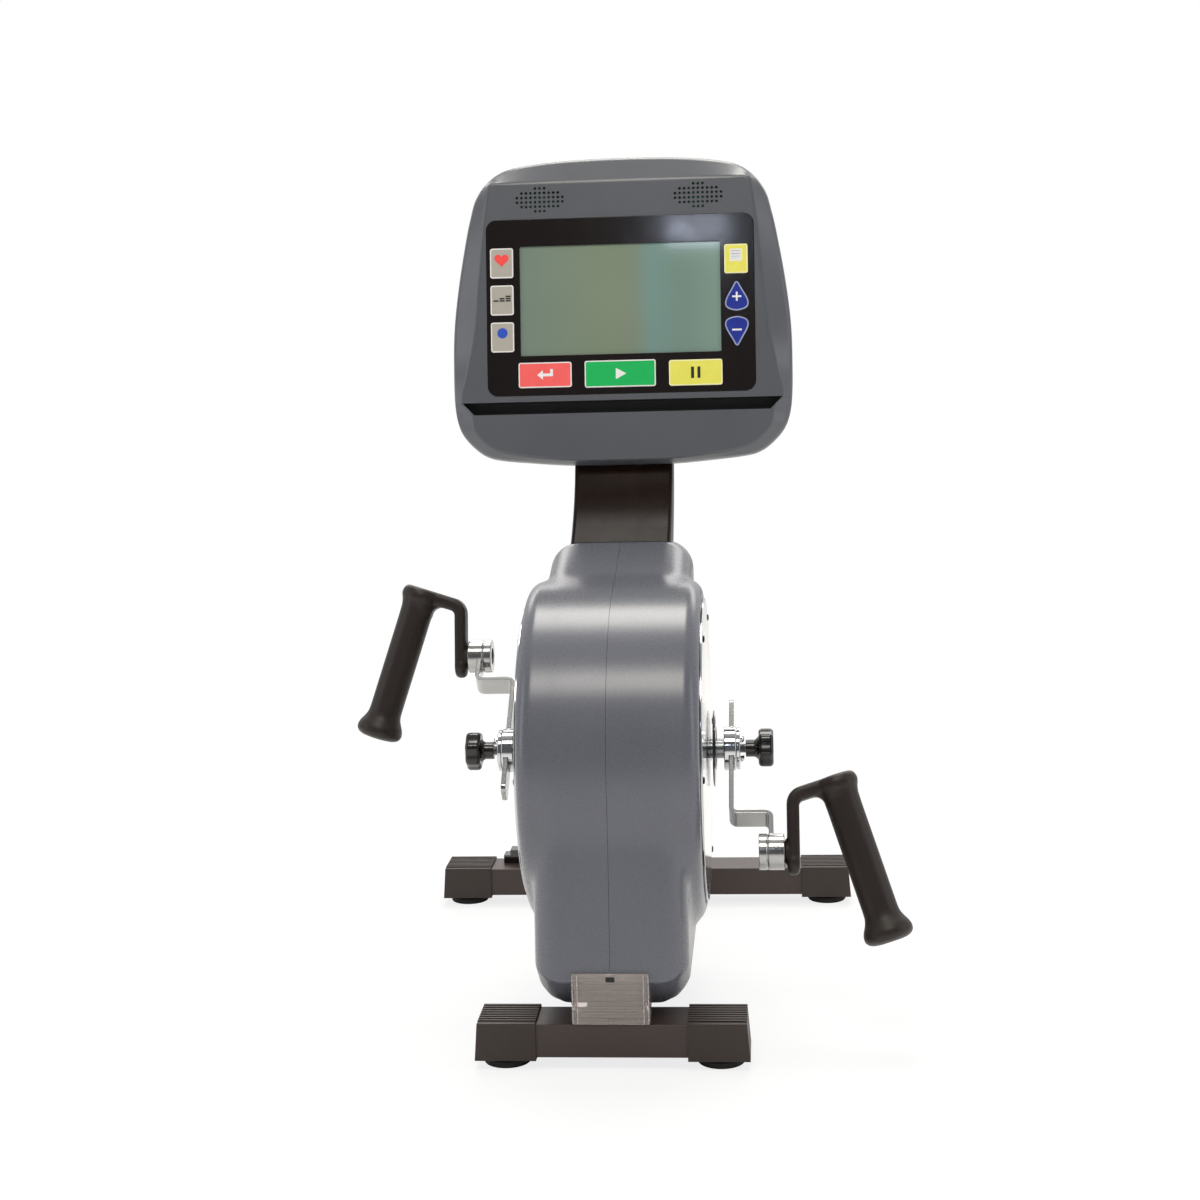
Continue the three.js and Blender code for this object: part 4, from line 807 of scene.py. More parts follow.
# Round side covers, their screws, and the flange discs
coverSizes = {
    "radius": 161, "seat": 92.3, "rim": 94.5, "dome": 3.9, "sheet": 1.5, "bore": 14, "screwAt": 151,
    "screws": 6, "screwRadius": 3.6, "screwHeight": 1.5, "rimStep": 0.012, "innerShare": 0.94,
    "innerStep": 0.06,
}
discProfile = [
    (101.2, 10.8), (101.2, 39.8), (102, 41, 0.6), (102.8, 41, 0.6), (104.3, 34, 8), (104.3, 24),
    (103.6, 23.4), (103.6, 10.8), (101.2, 10.8),
]


def makeScrew(name, radius, height, place, finish, body, slotName, recess=0.45, shank=1.2):
    profile = roundCorners([
        (-shank, 0), (-shank, radius * 0.55), (0, radius * 0.55), (0, radius), (height * 0.45, radius, 0.2),
        (height * 0.85, radius * 0.75, radius * 0.4), (height, radius * recess, 0.12),
        (height * 0.3, radius * recess * 0.8), (height * 0.3, 0),
    ], 4)
    screw = moveTo(spinProfile(name, profile, 24), place)
    return finishPiece(screw, finish, body, slotName)


def makeCovers():
    s = coverSizes
    domeAt = lambda share: s["rim"] + s["dome"] * (1 - share ** 2)
    shares = [1 - s["rimStep"] * i for i in range(1, 5)]
    shares += [s["innerShare"] - s["innerStep"] * i for i in range(15)]
    outer = [(domeAt(share), share * s["radius"]) for share in shares] + [(domeAt(0), s["bore"])]
    inner = [(x - s["sheet"], radius) for x, radius in outer[::-1]]
    edge = roundCorners([
        outer[0], (s["rim"], s["radius"], 0.9), (s["seat"], s["radius"], 0.3), inner[-1],
    ], 4)
    profile = [*edge[::-1][1:], *outer, *inner[:-1]]
    for side in sides:
        cover = spinProfile(f"{side}_silver_cover", profile + profile[:1], 160)
        moveTo(cover, atAxle @ mirrored[side])
        finishPiece(cover, "mirrorCover", "frame", "silver", f"{side}_side_cover", smooth=25)
        for i in range(s["screws"]):
            turn = Matrix.Rotation(2 * math.pi * i / s["screws"], 4, "X")
            out = shift(domeAt(s["screwAt"] / s["radius"]), s["screwAt"], 0)
            makeScrew(f"{side}_cover_screw_{i + 1}", s["screwRadius"], s["screwHeight"],
                      atAxle @ mirrored[side] @ turn @ out, "blackScrew", "frame", "steel")
        disc = spinProfile(f"{side}_gloss_disc", roundCorners(discProfile, 5), 128)
        moveTo(disc, atAxle @ mirrored[side])
        finishPiece(disc, "glossBlack", "crank", "gloss", f"{side}_flange_disc", smooth=25)



makeCovers()

# The clear cover, with a black block in its slot as painted shade and pale bars down its moulded corners as
# painted highlights
clearSizes = {
    "front": -314.4, "slot": (9, 5.6, 93.4), "shadeBlockDepth": 5, "highlightBarsAt": (33, 37.8), "highlightBar": 0.9,
    "highlightBarFrom": 48.4, "highlightBarTo": 98.6,
}


def makeClearCover():
    c = clearSizes
    softenedCopy("clear_ribbed_cover", "smokedClear", "frame", "clear", 0.35, 2)
    wide, tall, middle = c["slot"]
    # A black block in the slot: painted shade for the dark inside behind it
    shadeBlock = pushOutline("clear_cover_painted_shade_block", "y", roundedBox(wide - 0.3, tall - 0.3, 0.5, (0, middle)),
                         c["front"] + 0.3, c["front"] + c["shadeBlockDepth"], 0.2, 2)
    finishPiece(shadeBlock, "paintedShadeAbs", "frame", "gloss")
    # Pale bars down the corners: painted highlights standing for the bright edges of the clear moulding
    tall, middle = c["highlightBarTo"] - c["highlightBarFrom"], (c["highlightBarTo"] + c["highlightBarFrom"]) / 2
    highlightBars = [pushOutline("clear_cover_painted_highlight_bars", "y", roundedBox(c["highlightBar"], tall, 0.4, (sign * at, middle)),
                         c["front"] - 1.4, c["front"] + 0.2, 0.3, 2)
             for sign in sides.values() for at in c["highlightBarsAt"]]
    finishPiece(joinPieces(*highlightBars), "paintedHighlightEdge", "frame", "clear")


makeClearCover()
print("covers made")

# Cranks: hubs, arms with their sleeves, knobs and coated handles
hubSizes = {
    "from": 112.8, "to": 125.6, "radius": 23.2, "plateFrom": 125.9, "plateTo": 130, "plateRadius": 22.2,
    "plateBore": 5.3, "slot": (5.6, 25.6, 0.3), "slotReach": 50,
    "screwAt": 16.5, "screwGap": 0.05, "screw": (4.2, 4.0),
    "bore": [(100, 0), (100, 8.3), (118, 8.3), (118, 5.3), (140, 5.3), (140, 0)],
}
armSizes = {
    "at": 120.5, "outerAt": 161.3, "thickness": 5, "width": 25, "stub": 61.5, "endRound": 8, "stepAt": 92,
    "bend": 6.5, "length": 134.6,
}
sleeveSizes = {
    "from": 148.5, "to": 174.6, "radius": 18.5, "bore": 9.4, "groove": 157.6, "grooveHalf": 1.3,
    "grooveDepth": 1.1, "eye": [(100, 0), (100, 17.6), (190, 17.6), (190, 0)],
}
knobSizes = {
    "radius": 21, "lobes": 7, "lobeDepth": 1.9, "from": 149.2, "to": 165.2, "neckRadius": 9.2,
    "neckFrom": 135.6, "stem": 5, "pitch": 1.3, "flare": [(146, 9.2, 4), (149.9, 14), (151, 14), (151, 0)],
    "dish": [(5, 0), (5, 14), (0, 13.4), (-1.1, 11.6, 1), (-1.1, 0)],
}
rodSizes = {
    "at": 183.9, "thickness": 13, "archThickness": 14.6, "width": 26, "bend": 12, "end": 10,
    "endRadius": 14, "pinStart": 151, "pin": 9, "collar": 12.5, "collarFrom": 174.9,
}
# The profile gives shares of the grip's length and radii: a lip at the top, a bulb at the low end
gripSizes = {
    "top": (226.3, 77.6), "end": (280.8, -91), "radius": 18,
    "profile": [
        (0, 0), (0, 16), (0.004, 18.4), (0.014, 20.4), (0.032, 21.8), (0.052, 22.3), (0.072, 21.6),
        (0.095, 19.8), (0.13, 18.4), (0.2, 18.1), (0.5, 18.1), (0.8, 18.1), (0.83, 18.3), (0.855, 19.2),
        (0.88, 21.3), (0.905, 23.8), (0.93, 25.4), (0.95, 25.7), (0.968, 24.9), (0.984, 22.4), (0.995, 18),
        (1, 11), (1, 0),
    ],
}


def makeHub(side):
    s, place = hubSizes, atCrank[side] @ mirrored[side]
    body = spinProfile(f"{side}_hub_turning", roundCorners([
        (s["from"], 0), (s["from"], s["radius"], 1), (s["to"], s["radius"], 1.4), (s["to"], 0),
    ], 5), 128)
    slot = roundedBox(*s["slot"], (armSizes["at"], 0), 2)
    carve(body, pushOutline("slot", "z", slot, -s["slotReach"], s["slotReach"]))
    carve(body, spinProfile("bore", s["bore"], 48))
    plate = spinProfile(f"{side}_hub_clamp_plate", roundCorners([
        (s["plateFrom"], s["plateBore"]), (s["plateFrom"], s["plateRadius"], 0.7),
        (s["plateTo"], s["plateRadius"], 1.4), (s["plateTo"], s["plateBore"]),
        (s["plateFrom"], s["plateBore"]),
    ], 5), 128)
    for piece, node in ((body, "hub_body"), (plate, "hub_plate")):
        moveTo(piece, place)
        softenEdges(piece, 0.25, 2, 50)
        finishPiece(piece, "chromePlate", "crank", "chrome", f"{side}_{node}", smooth=28)
    for end, word in ((-1, "low"), (1, "high")):
        spot = place @ shift(s["plateTo"] + s["screwGap"], end * s["screwAt"], 0)
        makeScrew(f"{side}_hub_screw_{word}", *s["screw"], spot, "chromePlate", "crank", "chrome", 0.5)


def makeKnob(side):
    s = knobSizes
    count = 12 * s["lobes"]
    outline = []
    for i in range(count):
        angle = 2 * math.pi * i / count
        radius = s["radius"] - s["lobeDepth"] * (1 - math.cos(s["lobes"] * angle)) / 2
        outline.append((radius * math.cos(angle), radius * math.sin(angle)))
    head = pushOutline(f"{side}_lobed_knob", "x", outline, s["from"], s["to"], 4.2, 6, 60)
    dish = [(s["to"] + x, *rest) for x, *rest in s["dish"]]
    carve(head, spinProfile("dish", roundCorners(dish, 4), 64))
    neck = spinProfile("neck", roundCorners([
        (s["neckFrom"], 0), (s["neckFrom"], s["neckRadius"], 0.8), *s["flare"],
    ], 6), 64)
    carve(head, neck, "UNION")
    turns = []
    for i in range(18):
        depth = s["pitch"] * 0.5 * (i % 2)
        turns.append((s["neckFrom"] - s["pitch"] * (i / 2 + 0.3), s["stem"] - depth))
    stem = spinProfile(f"{side}_knob_stem", [
        (s["neckFrom"] + 1, 0), (s["neckFrom"] + 1, s["stem"]), *turns, (turns[-1][0], 0),
    ], 48)
    for piece, finish in ((head, "knobBlack"), (stem, "zincSteel")):
        moveTo(piece, atCrank[side] @ mirrored[side])
        slotName = "gloss" if piece is head else "steel"
        finishPiece(piece, finish, f"{side}_knob", slotName, smooth=40)
    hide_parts(f"{side}_lock_knob")


def makeArm(side):
    s, e = armSizes, sleeveSizes
    line = [
        (s["at"], -s["stub"]), (s["at"], s["stepAt"]), (s["outerAt"], s["stepAt"]),
        (s["outerAt"], s["length"]),
    ]
    half = s["width"] / 2
    bar = pushOutline(f"{side}_polished_arm", "y", bentStrip(line, s["thickness"], s["bend"]), -half, half)
    carve(bar, pushOutline("blank", "x", roundCorners([
        (-half, -s["stub"], s["endRound"]), (half, -s["stub"], s["endRound"]), (half, 300), (-half, 300),
    ]), 0, 400), "INTERSECT")
    softenEdges(bar, 0.8, 3, 50)
    lift = Matrix.Translation((0, 0, s["length"] * mm))
    tube = spinProfile("tube", roundCorners([
        (e["from"], e["bore"]), (e["from"], e["radius"], 1.1),
        (e["groove"] - e["grooveHalf"], e["radius"], 0.5),
        (e["groove"], e["radius"] - e["grooveDepth"], 0.5),
        (e["groove"] + e["grooveHalf"], e["radius"], 0.5),
        (e["to"], e["radius"], 1.1), (e["to"], e["bore"], 0.6), (e["from"], e["bore"]),
    ], 4), 96)
    carve(bar, moveTo(spinProfile("eye", e["eye"], 64), lift))
    joinPieces(bar, moveTo(tube, lift))
    moveTo(bar, atCrank[side] @ mirrored[side])
    finishPiece(bar, side + "Bar", f"{side}_arm", "chrome", f"{side}_crank_arm", smooth=28)


# The rod, pin and grip are one piece under one dipped skin, so their joints melt into each other
def makeHandle(side):
    r, g = rodSizes, gripSizes
    half = r["width"] / 2
    inside, outside = r["at"] - r["thickness"] / 2, r["at"] + r["thickness"] / 2
    top, low = Vector(g["top"]), Vector(g["end"])
    length = (low - top).length
    way = (low - top).normalized()
    # The way along the grip's top face, which the arch runs flush with
    level = Vector((-way.y, way.x))
    steep = level.y / level.x
    archTop = lambda x: top.y + (x - top.x) * steep
    archUnder = lambda x: archTop(x) - r["archThickness"] / level.x
    shaftSide = top - level * g["radius"] + way * r["archThickness"]
    rod = pushOutline(f"{side}_coated_handle", "y", roundCorners([
        (inside, -r["end"]), (inside, archTop(inside), r["bend"] + r["thickness"] / 2), (top.x, top.y),
        (top.x + 6, archUnder(top.x + 6)), (outside, archUnder(outside), r["bend"] - r["thickness"] / 2),
        (outside, -r["end"]),
    ], 10), -half, half, 4.6, 5, 50)
    gusset = pushOutline("gusset", "y", roundCorners([
        shaftSide - level * 15, (shaftSide[0], shaftSide[1], 10), shaftSide + way * 15,
        shaftSide + way * 8 + level * 9, shaftSide - way * 5,
    ], 8), -8, 8)
    drop = Matrix.Translation((0, 0, -r["end"] * mm))
    end = spinProfile("rod_end", roundCorners([
        (inside, 0), (inside, r["endRadius"], 5.2), (outside, r["endRadius"], 5.2), (outside, 0),
    ], 6), 64)
    collar = spinProfile("collar", roundCorners([
        (r["at"], 0), (r["at"], r["collar"]), (r["collarFrom"], r["collar"], 1), (r["collarFrom"], r["pin"]),
        (r["pinStart"], r["pin"], 1), (r["pinStart"], 0),
    ], 4), 64)
    grip = spinProfile("grip", [(share * length, radius) for share, radius in g["profile"]], 96)
    lean = Matrix((
        (way.x, 0, -way.y, top.x * mm), (0, 1, 0, 0), (way.y, 0, way.x, top.y * mm), (0, 0, 0, 1),
    ))
    for piece in (moveTo(end, drop), collar, gusset, moveTo(grip, lean)):
        carve(rod, piece, "UNION")
    faceOutwards(rod)
    applyModifier(rod, "REMESH", mode="VOXEL", voxel_size=1.0 * mm, use_smooth_shade=True)
    applyModifier(rod, "SMOOTH", factor=0.5, iterations=8)
    moveTo(rod, atHandle[side] @ mirrored[side])
    finishPiece(rod, "dipCoat", f"{side}_handle", "grip", f"{side}_handle_rod", f"{side}_hand_grip",
                smooth=180)


for side in sides:
    makeHub(side)
    makeKnob(side)
    makeArm(side)
    makeHandle(side)
print("cranks made")

# Neck cover: the solid already fits the housing, and only its upright corners are rounded further
neckSizes = {"half": 55.75, "corner": 5, "steps": 6, "edge": 0.5}


def makeNeck():
    s = neckSizes
    neck = mergedCopy("neck_cover")
    roundEdges(neck, lambda a, b: (
        min(abs(a.x), abs(b.x)) > (s["half"] - 0.1) * mm and abs(a.z - b.z) > 0.5 * (a - b).length
    ), s["corner"], s["steps"])
    softenEdges(neck, s["edge"], 2, 50)
    finishPiece(neck, "neckAbs", "frame", "gloss", "neck_cover", smooth=30)


makeNeck()
print("neck made")

# Console: x across, y into the console, z up its face
consoleSizes = {
    "halfWidth": 193.6, "top": 271.2, "rimDepth": 14, "parting": 22, "depth": 84, "wall": 3,
    "backShare": 0.8, "backSoft": 16, "faceSoft": 3.2, "rimSoft": 5.5, "gap": 0.15,
    "inset": 12, "faceMiddle": 95.0, "rimMiddle": 95.5,
    "mastHole": (56.6, 160, 1, (0, -80)), "mastSpan": (33.7, 54.3),
}
# Rings as shares of the half width and of the top's height
rimShares = [
    (0, 1), (0.351, 0.994), (0.558, 0.979), (0.687, 0.959), (0.785, 0.914), (0.857, 0.841), (0.892, 0.756),
    (0.916, 0.678), (0.965, 0.472), (0.995, 0.28), (1, 0.092), (0.995, -0.026), (0.981, -0.096),
    (0.953, -0.151),
    (0.904, -0.197), (0.829, -0.242), (0.749, -0.264), (0.527, -0.282), (0.3, -0.294), (0, -0.296),
]
faceShares = [
    (0, 0.892), (0.32, 0.892), (0.542, 0.892), (0.661, 0.892), (0.759, 0.889), (0.777, 0.848), (0.79, 0.767),
    (0.801, 0.69), (0.826, 0.479), (0.852, 0.273), (0.904, 0.111), (0.945, -0.026), (0.883, -0.077),
    (0.868, -0.14), (0.821, -0.188), (0.759, -0.223), (0.682, -0.242), (0.517, -0.262), (0.284, -0.277),
    (0, -0.28),
]
slotSizes = {
    "halfTop": 181.5, "halfBottom": 168, "top": -8, "height": 14, "depth": 15, "wall": 2, "shadeLinerFrom": 1.5,
}
overlaySizes = {
    "width": 304, "height": 201, "corner": 12, "middle": 99.5, "front": -0.4, "back": 1.2,
    "seatGap": 0.6, "seatCorner": 12.3, "seatDepth": 1.5, "lip": 8, "lipCorner": 6, "soft": 0.3,
}
# How far a cutter reaches before the face, before the slot and through the face
cutReach = {"face": 6, "slot": 15, "through": 9}
viewSizes = {"half": 113.8, "low": 44.3, "high": 168.9}
grille = {"x": 90, "z": 222, "pitch": 5.2, "radius": 1.55, "rows": (3, 9, 11, 11, 9, 3)}
screwSizes = {
    "places": ((-118, 30), (118, 30), (-112, 170), (112, 170), (-40, 205), (40, 205)), "radius": 3.6,
    "height": 1.0, "well": 6, "sunk": 1.2,
}


# A smooth closed ring through points, with as many steps between each two
def curvedRing(points, each):
    around = np.array(points)
    count = len(around)
    ring = []
    for i in range(count):
        p0, p1, p2, p3 = [around[(i + k) % count] for k in (-1, 0, 1, 2)]
        reach = np.linalg.norm(p2 - p1)
        before = (p2 - p0) / max(np.linalg.norm(p2 - p0), 1e-9) * reach
        after = (p3 - p1) / max(np.linalg.norm(p3 - p1), 1e-9) * reach
        for k in range(each):
            t = k / each
            ring.append((2 * t ** 3 - 3 * t ** 2 + 1) * p1 + (t ** 3 - 2 * t ** 2 + t) * before
                        + (3 * t ** 2 - 2 * t ** 3) * p2 + (t ** 3 - t ** 2) * after)
    return np.array(ring)


def smoothRing(shares, each=6):
    s = consoleSizes
    half = [(across * s["halfWidth"], up * s["top"]) for across, up in shares]
    return curvedRing(half + [(-x, z) for x, z in half[-2:0:-1]], each)


def atDepth(ring, depth):
    return np.column_stack([ring[:, 0], np.full(len(ring), depth), ring[:, 1]])


# Rings that round the corner between two straight runs
def roundedRings(before, corner, after, reach, steps=6):
    start = corner + (before - corner) / np.linalg.norm(before - corner, axis=1)[:, None] * reach
    end = corner + (after - corner) / np.linalg.norm(after - corner, axis=1)[:, None] * reach
    shares = np.linspace(0, 1, steps + 1)
    return [(1 - t) ** 2 * start + 2 * t * (1 - t) * corner + t ** 2 * end for t in shares]


def loftRings(name, rings, closedStart=False, closedEnd=False):
    count = len(rings[0])
    faces = []
    for r in range(len(rings) - 1):
        for i in range(count):
            a, b = r * count + i, r * count + (i + 1) % count
            faces.append((a, b, b + count, a + count))
    if closedStart:
        faces.append(tuple(range(count))[::-1])
    if closedEnd:
        last = (len(rings) - 1) * count
        faces.append(tuple(range(last, last + count)))
    return faceOutwards(meshPiece(name, np.concatenate(rings), faces))


def slotOutline(out):
    s = slotSizes
    low = s["top"] - s["height"]
    return [(-s["halfTop"] - out / 2, s["top"] + out), (-s["halfBottom"] - out / 2, low - out),
            (s["halfBottom"] + out / 2, low - out), (s["halfTop"] + out / 2, s["top"] + out)]


def makeFrontShell():
    s, o = consoleSizes, overlaySizes
    rimRing, faceRing = smoothRing(rimShares), smoothRing(faceShares)
    middle = np.array([0, s["faceMiddle"]])
    inwards = (middle - faceRing) / np.linalg.norm(middle - faceRing, axis=1)[:, None]
    faceInner = atDepth(faceRing + inwards * s["inset"], 0)
    face, rim = atDepth(faceRing, 0), atDepth(rimRing, s["rimDepth"])
    edge = atDepth(rimRing, s["parting"] - s["gap"])
    rings = [
        *roundedRings(faceInner, face, rim, s["faceSoft"]), *roundedRings(face, rim, edge, s["rimSoft"], 8),
        edge,
    ]
    shell = loftRings("console_front_moulding", rings, closedStart=True)
    applyModifier(shell, "SOLIDIFY", thickness=s["wall"] * mm, offset=-1, use_even_offset=True,
                  thickness_clamp=1.2)
    coat(shell, "consoleAbs")
    depth, wall, middle = slotSizes["depth"], slotSizes["wall"], (0, o["middle"])
    before, sizes = -cutReach["face"], (o["width"], o["height"])
    seat = roundedBox(*[size + o["seatGap"] for size in sizes], o["seatCorner"], middle)
    window = roundedBox(*[size - o["lip"] for size in sizes], o["lipCorner"], middle)
    # Each cutter passes its dark finish to the walls it cuts, as painted shade; the liner adds a dark sheet
    # of painted shade round the slot's walls
    cutters = {
        "painted_shade_liner": ("UNION", slotOutline(wall), slotSizes["shadeLinerFrom"], depth + wall),
        "slot": ("DIFFERENCE", slotOutline(0), -cutReach["slot"], depth),
        "seat": ("DIFFERENCE", seat, before, o["seatDepth"]),
        "window": ("DIFFERENCE", window, before, cutReach["through"]),
    }
    for name, (operation, outline, start, end) in cutters.items():
        cutter = pushOutline(name, "y", outline, start, end)
        coat(cutter, "paintedShadeAbs")
        carve(shell, cutter, operation)
    carve(shell, makeGrilleCutter())
    moveTo(shell, atFace)
    finishPiece(shell, None, "frame", "console", "console_front_shell", smooth=30)


# One round hole copied into rows on both sides
def makeGrilleCutter():
    g = grille
    hole = pushOutline("hole", "y", [
        (g["radius"] * math.cos(math.pi * i / 6), g["radius"] * math.sin(math.pi * i / 6)) for i in range(12)
    ], -3, 6)
    # The hole's dark finish passes to the walls of the grille holes as painted shade
    coat(hole, "paintedShadeAbs")
    copies = []
    for sign in sides.values():
        for row, count in enumerate(g["rows"]):
            for i in range(count):
                x = sign * g["x"] + (i - (count - 1) / 2) * g["pitch"]
                z = g["z"] + ((len(g["rows"]) - 1) / 2 - row) * g["pitch"]
                copy = copyPiece(hole, "hole_copy")
                copies.append(moveTo(copy, shift(x, 0, z)))
    bpy.data.objects.remove(hole)
    return joinPieces(*copies)


def makeRearShell():
    s = consoleSizes
    rimRing = smoothRing(rimShares)
    middle = np.array([0, s["rimMiddle"]])
    backRing = middle + (rimRing - middle) * s["backShare"]
    start = atDepth(rimRing, s["parting"] + s["gap"])
    back = atDepth(backRing, s["depth"])
    centre = atDepth(middle + (rimRing - middle) * 0.5, s["depth"])
    rings = [start, *roundedRings(start, back, centre, s["backSoft"], 8)]
    shell = loftRings("console_rear_moulding", rings, closedEnd=True)
    applyModifier(shell, "SOLIDIFY", thickness=s["wall"] * mm, offset=-1, use_even_offset=True)
    coat(shell, "consoleAbs")
    mast = pushOutline("mast_hole", "y", roundedBox(*s["mastHole"]), *s["mastSpan"])
    # The hole's dark finish passes to the walls it cuts as painted shade
    coat(mast, "paintedShadeAbs")
    carve(shell, mast)
    w = screwSizes
    for x, z in w["places"]:
        place = shift(x, s["depth"] - w["sunk"], z) @ Matrix.Rotation(math.radians(90), 4, "Z")
        well = spinProfile("well", [(0, 0), (0, w["well"]), (2, w["well"]), (2, 0)], 32)
        moveTo(well, place)
        coat(well, "consoleAbs")
        carve(shell, well)
        makeScrew(f"console_screw_{x}_{z}".replace("-", "m"), w["radius"], w["height"], atFace @ place,
                  "blackScrew", "frame", "steel")
    moveTo(shell, atFace)
    finishPiece(shell, None, "frame", "console", "console_rear_shell", smooth=30)


# Overlay, display and keys
keySizes = {
    "front": -1.1, "thickness": 2.4, "corner": 2.6, "border": 1.3, "soft": 0.3, "gap": 0.3, "ink": 0.1,
}
# Half of a drop's outline, as shares of its width and height
dropShares = [
    (0, 0.5), (0.07, 0.473), (0.132, 0.382), (0.256, 0.206), (0.385, 0.033), (0.48, -0.136), (0.5, -0.224),
    (0.473, -0.345), (0.355, -0.43), (0.165, -0.482), (0, -0.5),
]
# Where each key's middle is, its size, the colour of its face, the ink of its border, and a drop's tip
sideKey = (26.4, 34.0)
dropKey = (26.4, 33.0)
keyList = {
    "heart": {"at": (-134.4, 150.6), "size": sideKey, "face": "Grey", "border": "White"},
    "bars": {"at": (-134.4, 108.3), "size": sideKey, "face": "Grey", "border": "White"},
    "dot": {"at": (-134.4, 66.1), "size": sideKey, "face": "Grey", "border": "White"},
    "list": {"at": (131.6, 148.3), "size": dropKey, "face": "Yellow", "border": "Pale"},
    "plus": {"at": (131.9, 106.1), "size": dropKey, "face": "Blue", "border": "Steel", "tip": 1},
    "minus": {"at": (131.6, 66.7), "size": dropKey, "face": "Blue", "border": "Steel", "tip": -1},
    "return": {"at": (-86.3, 22.1), "size": (60.5, 28.7), "face": "Red", "border": "White"},
    "play": {"at": (-0.9, 21.7), "size": (80.6, 30.4), "face": "Green", "border": "White"},
    "pause": {"at": (84.5, 20.9), "size": (60.2, 29.1), "face": "Yellow", "border": "Pale"},
}


def keyOutline(key, grow=0, steps=6):
    (x, z), (wide, tall) = key["at"], key["size"]
    wide, tall = wide + 2 * grow, tall + 2 * grow
    if "tip" not in key:
        return roundedBox(wide, tall, max(keySizes["corner"] + grow, 0.4), (x, z), steps)
    half = [(wide * across, tall * up) for across, up in dropShares]
    around = curvedRing(half + [(-a, b) for a, b in half[-2:0:-1]], 3)
    return [(x + key["tip"] * a, z + key["tip"] * b) for a, b in around]


def heartOutline(x, z, wide):
    points = []
    for i in range(48):
        t = 2 * math.pi * i / 48
        across = 16 * math.sin(t) ** 3
        up = 13 * math.cos(t) - 5 * math.cos(2 * t) - 2 * math.cos(3 * t) - math.cos(4 * t)
        points.append((x + across * wide / 32, z + (up + 2.5) * wide / 32))
    return points


def roundOutline(x, z, radius, count=40):
    turns = [2 * math.pi * i / count for i in range(count)]
    return [(x + radius * math.cos(turn), z + radius * math.sin(turn)) for turn in turns]


def crossOutline(x, z, reach, half):
    return [(x + a, z + b) for a, b in (
        (-reach, -half), (-half, -half), (-half, -reach), (half, -reach), (half, -half), (reach, -half),
        (reach, half), (half, half), (half, reach), (-half, reach), (-half, half), (-reach, half))]


# The marks on each key, as outlines with their ink
def keyMarks(name, x, z):
    box = lambda a, b, wide, tall, soft=0.3: roundedBox(wide, tall, soft, (x + a, z + b), 3)
    if name == "heart":
        return [("Red", heartOutline(x, z + 2.5, 16.5))]
    if name == "bars":
        spots = [(-7 + 7 * i, -0.6 + 2.5 * k) for i in range(3) for k in range(i + 1)]
        return [("Black", box(*spot, 5.8, 1.8, 0.2)) for spot in spots]
    if name == "dot":
        return [("Blue", roundOutline(x, z + 4.7, 5.9))]
    if name == "list":
        rows = [("Steel", box(0, 4.1 + b, 10.4, 0.9, 0.2)) for b in (-4.5, -1.5, 1.5, 4.5)]
        return [("White", box(0, 4.1, 13.9, 13.9, 0.8)), *rows]
    if name == "plus":
        return [("White", crossOutline(x, z - 0.6, 5.1, 1))]
    if name == "minus":
        return [("White", box(0, 1.2, 10.8, 2))]
    if name == "play":
        corners = [(x - 5, z - 6.5, 0.5), (x + 7, z, 0.5), (x - 5, z + 6.5, 0.5)]
        return [("White", roundCorners(corners, 3))]
    if name == "pause":
        return [("Black", box(at, 0, 3.4, 13)) for at in (-3.6, 3.6)]
    arrow = [
        (-9, 0), (-2.5, 5.5), (-2.5, 1.6), (5.8, 1.6), (5.8, 6.5), (9, 6.5), (9, -1.6), (-2.5, -1.6),
        (-2.5, -5.5),
    ]
    return [("White", [(x + a, z + b) for a, b in arrow])]


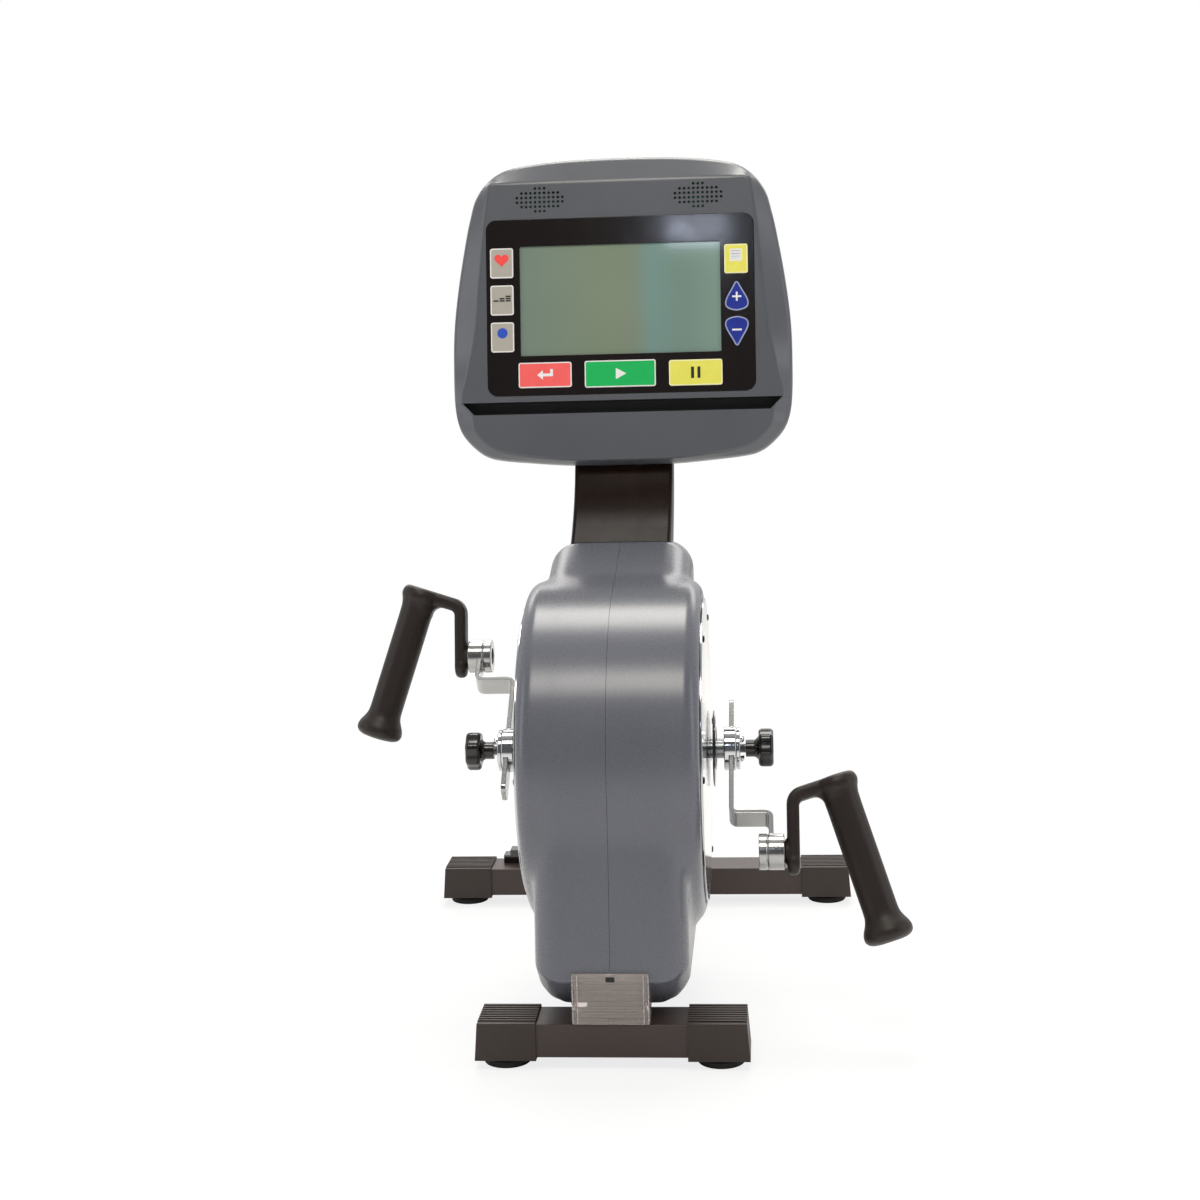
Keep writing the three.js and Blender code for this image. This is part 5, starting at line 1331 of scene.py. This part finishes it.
def makeKey(name, key):
    s = keySizes
    front = s["front"]
    cap = pushOutline(f"{name}_key_cap", "y", keyOutline(key), front, front + s["thickness"])
    selectParts(cap, "polygons", lambda face: face.normal.y < -0.9)
    with editing():
        bpy.ops.mesh.inset(thickness=s["border"] * mm, depth=0, use_even_offset=True)
    coat(cap, "ink" + key["border"])
    coat(cap, "key" + key["face"])
    for face in cap.data.polygons:
        face.material_index = 1 if face.select else 0
    softenEdges(cap, s["soft"], 3, 50)
    marks = []
    for ink, outline in keyMarks(name, *key["at"]):
        mark = pushOutline("mark", "y", outline, front - s["ink"], front + 0.2)
        coat(mark, "ink" + ink)
        marks.append(mark)
    joinPieces(cap, *marks)
    moveTo(cap, atFace)
    slotName = "key_" + key["face"].lower()
    finishPiece(cap, None, f"{name}_key", slotName, f"key_{name}", smooth=30)


def makeOverlay():
    o, v = overlaySizes, viewSizes
    middle = (0, o["middle"])
    plate = pushOutline("gloss_overlay", "y", roundedBox(o["width"], o["height"], o["corner"], middle, 12),
                        o["front"], o["back"])
    view = roundedBox(2 * v["half"], v["high"] - v["low"], 1.5, (0, (v["high"] + v["low"]) / 2))
    outlines = [view, *[keyOutline(key, keySizes["gap"]) for key in keyList.values()]]
    reach = cutReach["face"]
    holes = [pushOutline("hole", "y", outline, -reach, reach) for outline in outlines]
    carve(plate, joinPieces(*holes))
    softenEdges(plate, o["soft"], 2, 50)
    moveTo(plate, atFace)
    finishPiece(plate, "overlayFilm", "frame", "gloss", "display_overlay", smooth=30)


makeFrontShell()
makeRearShell()
makeOverlay()
for keyName, keyFacts in keyList.items():
    makeKey(keyName, keyFacts)
softenedCopy("display_module", "display", "frame", "display", 0.5)
softenedCopy("console_board", "solderMask", "frame", "board", 0.3)
print("console made")

# What works inside the housing: finish, body, slot and the width of the softened edges
innerPieces = {
    "main_post": ("enamel", "frame", "frame", 0.8),
    "mast_tube": ("enamel", "frame", "frame", 1.2),
    "axle_cartridge": ("zincSteel", "frame", "steel", 0.4),
    "shaft_cartridge": ("zincSteel", "frame", "steel", 0.4),
    "crank_axle": ("zincSteel", "crank", "steel", 0.5),
    "drive_pulley": ("castIron", "crank", "pulley", 0.8),
    "drive_belt": ("beltRubber", "frame", "rubber", 0.4),
    "flywheel_shaft": ("zincSteel", "flywheel_set", "steel", 0.3),
    "flywheel": ("castIron", "flywheel_set", "iron", 0.8),
    "brake_yoke": ("zincSteel", "brake", "steel", 0.6),
    "brake_magnets": ("zincSteel", "brake", "steel", 0.3),
    "brake_servo": ("capPlastic", "frame", "gloss", 0.8),
}
for node, facts in innerPieces.items():
    softenedCopy(node, *facts)
print("inner pieces made")
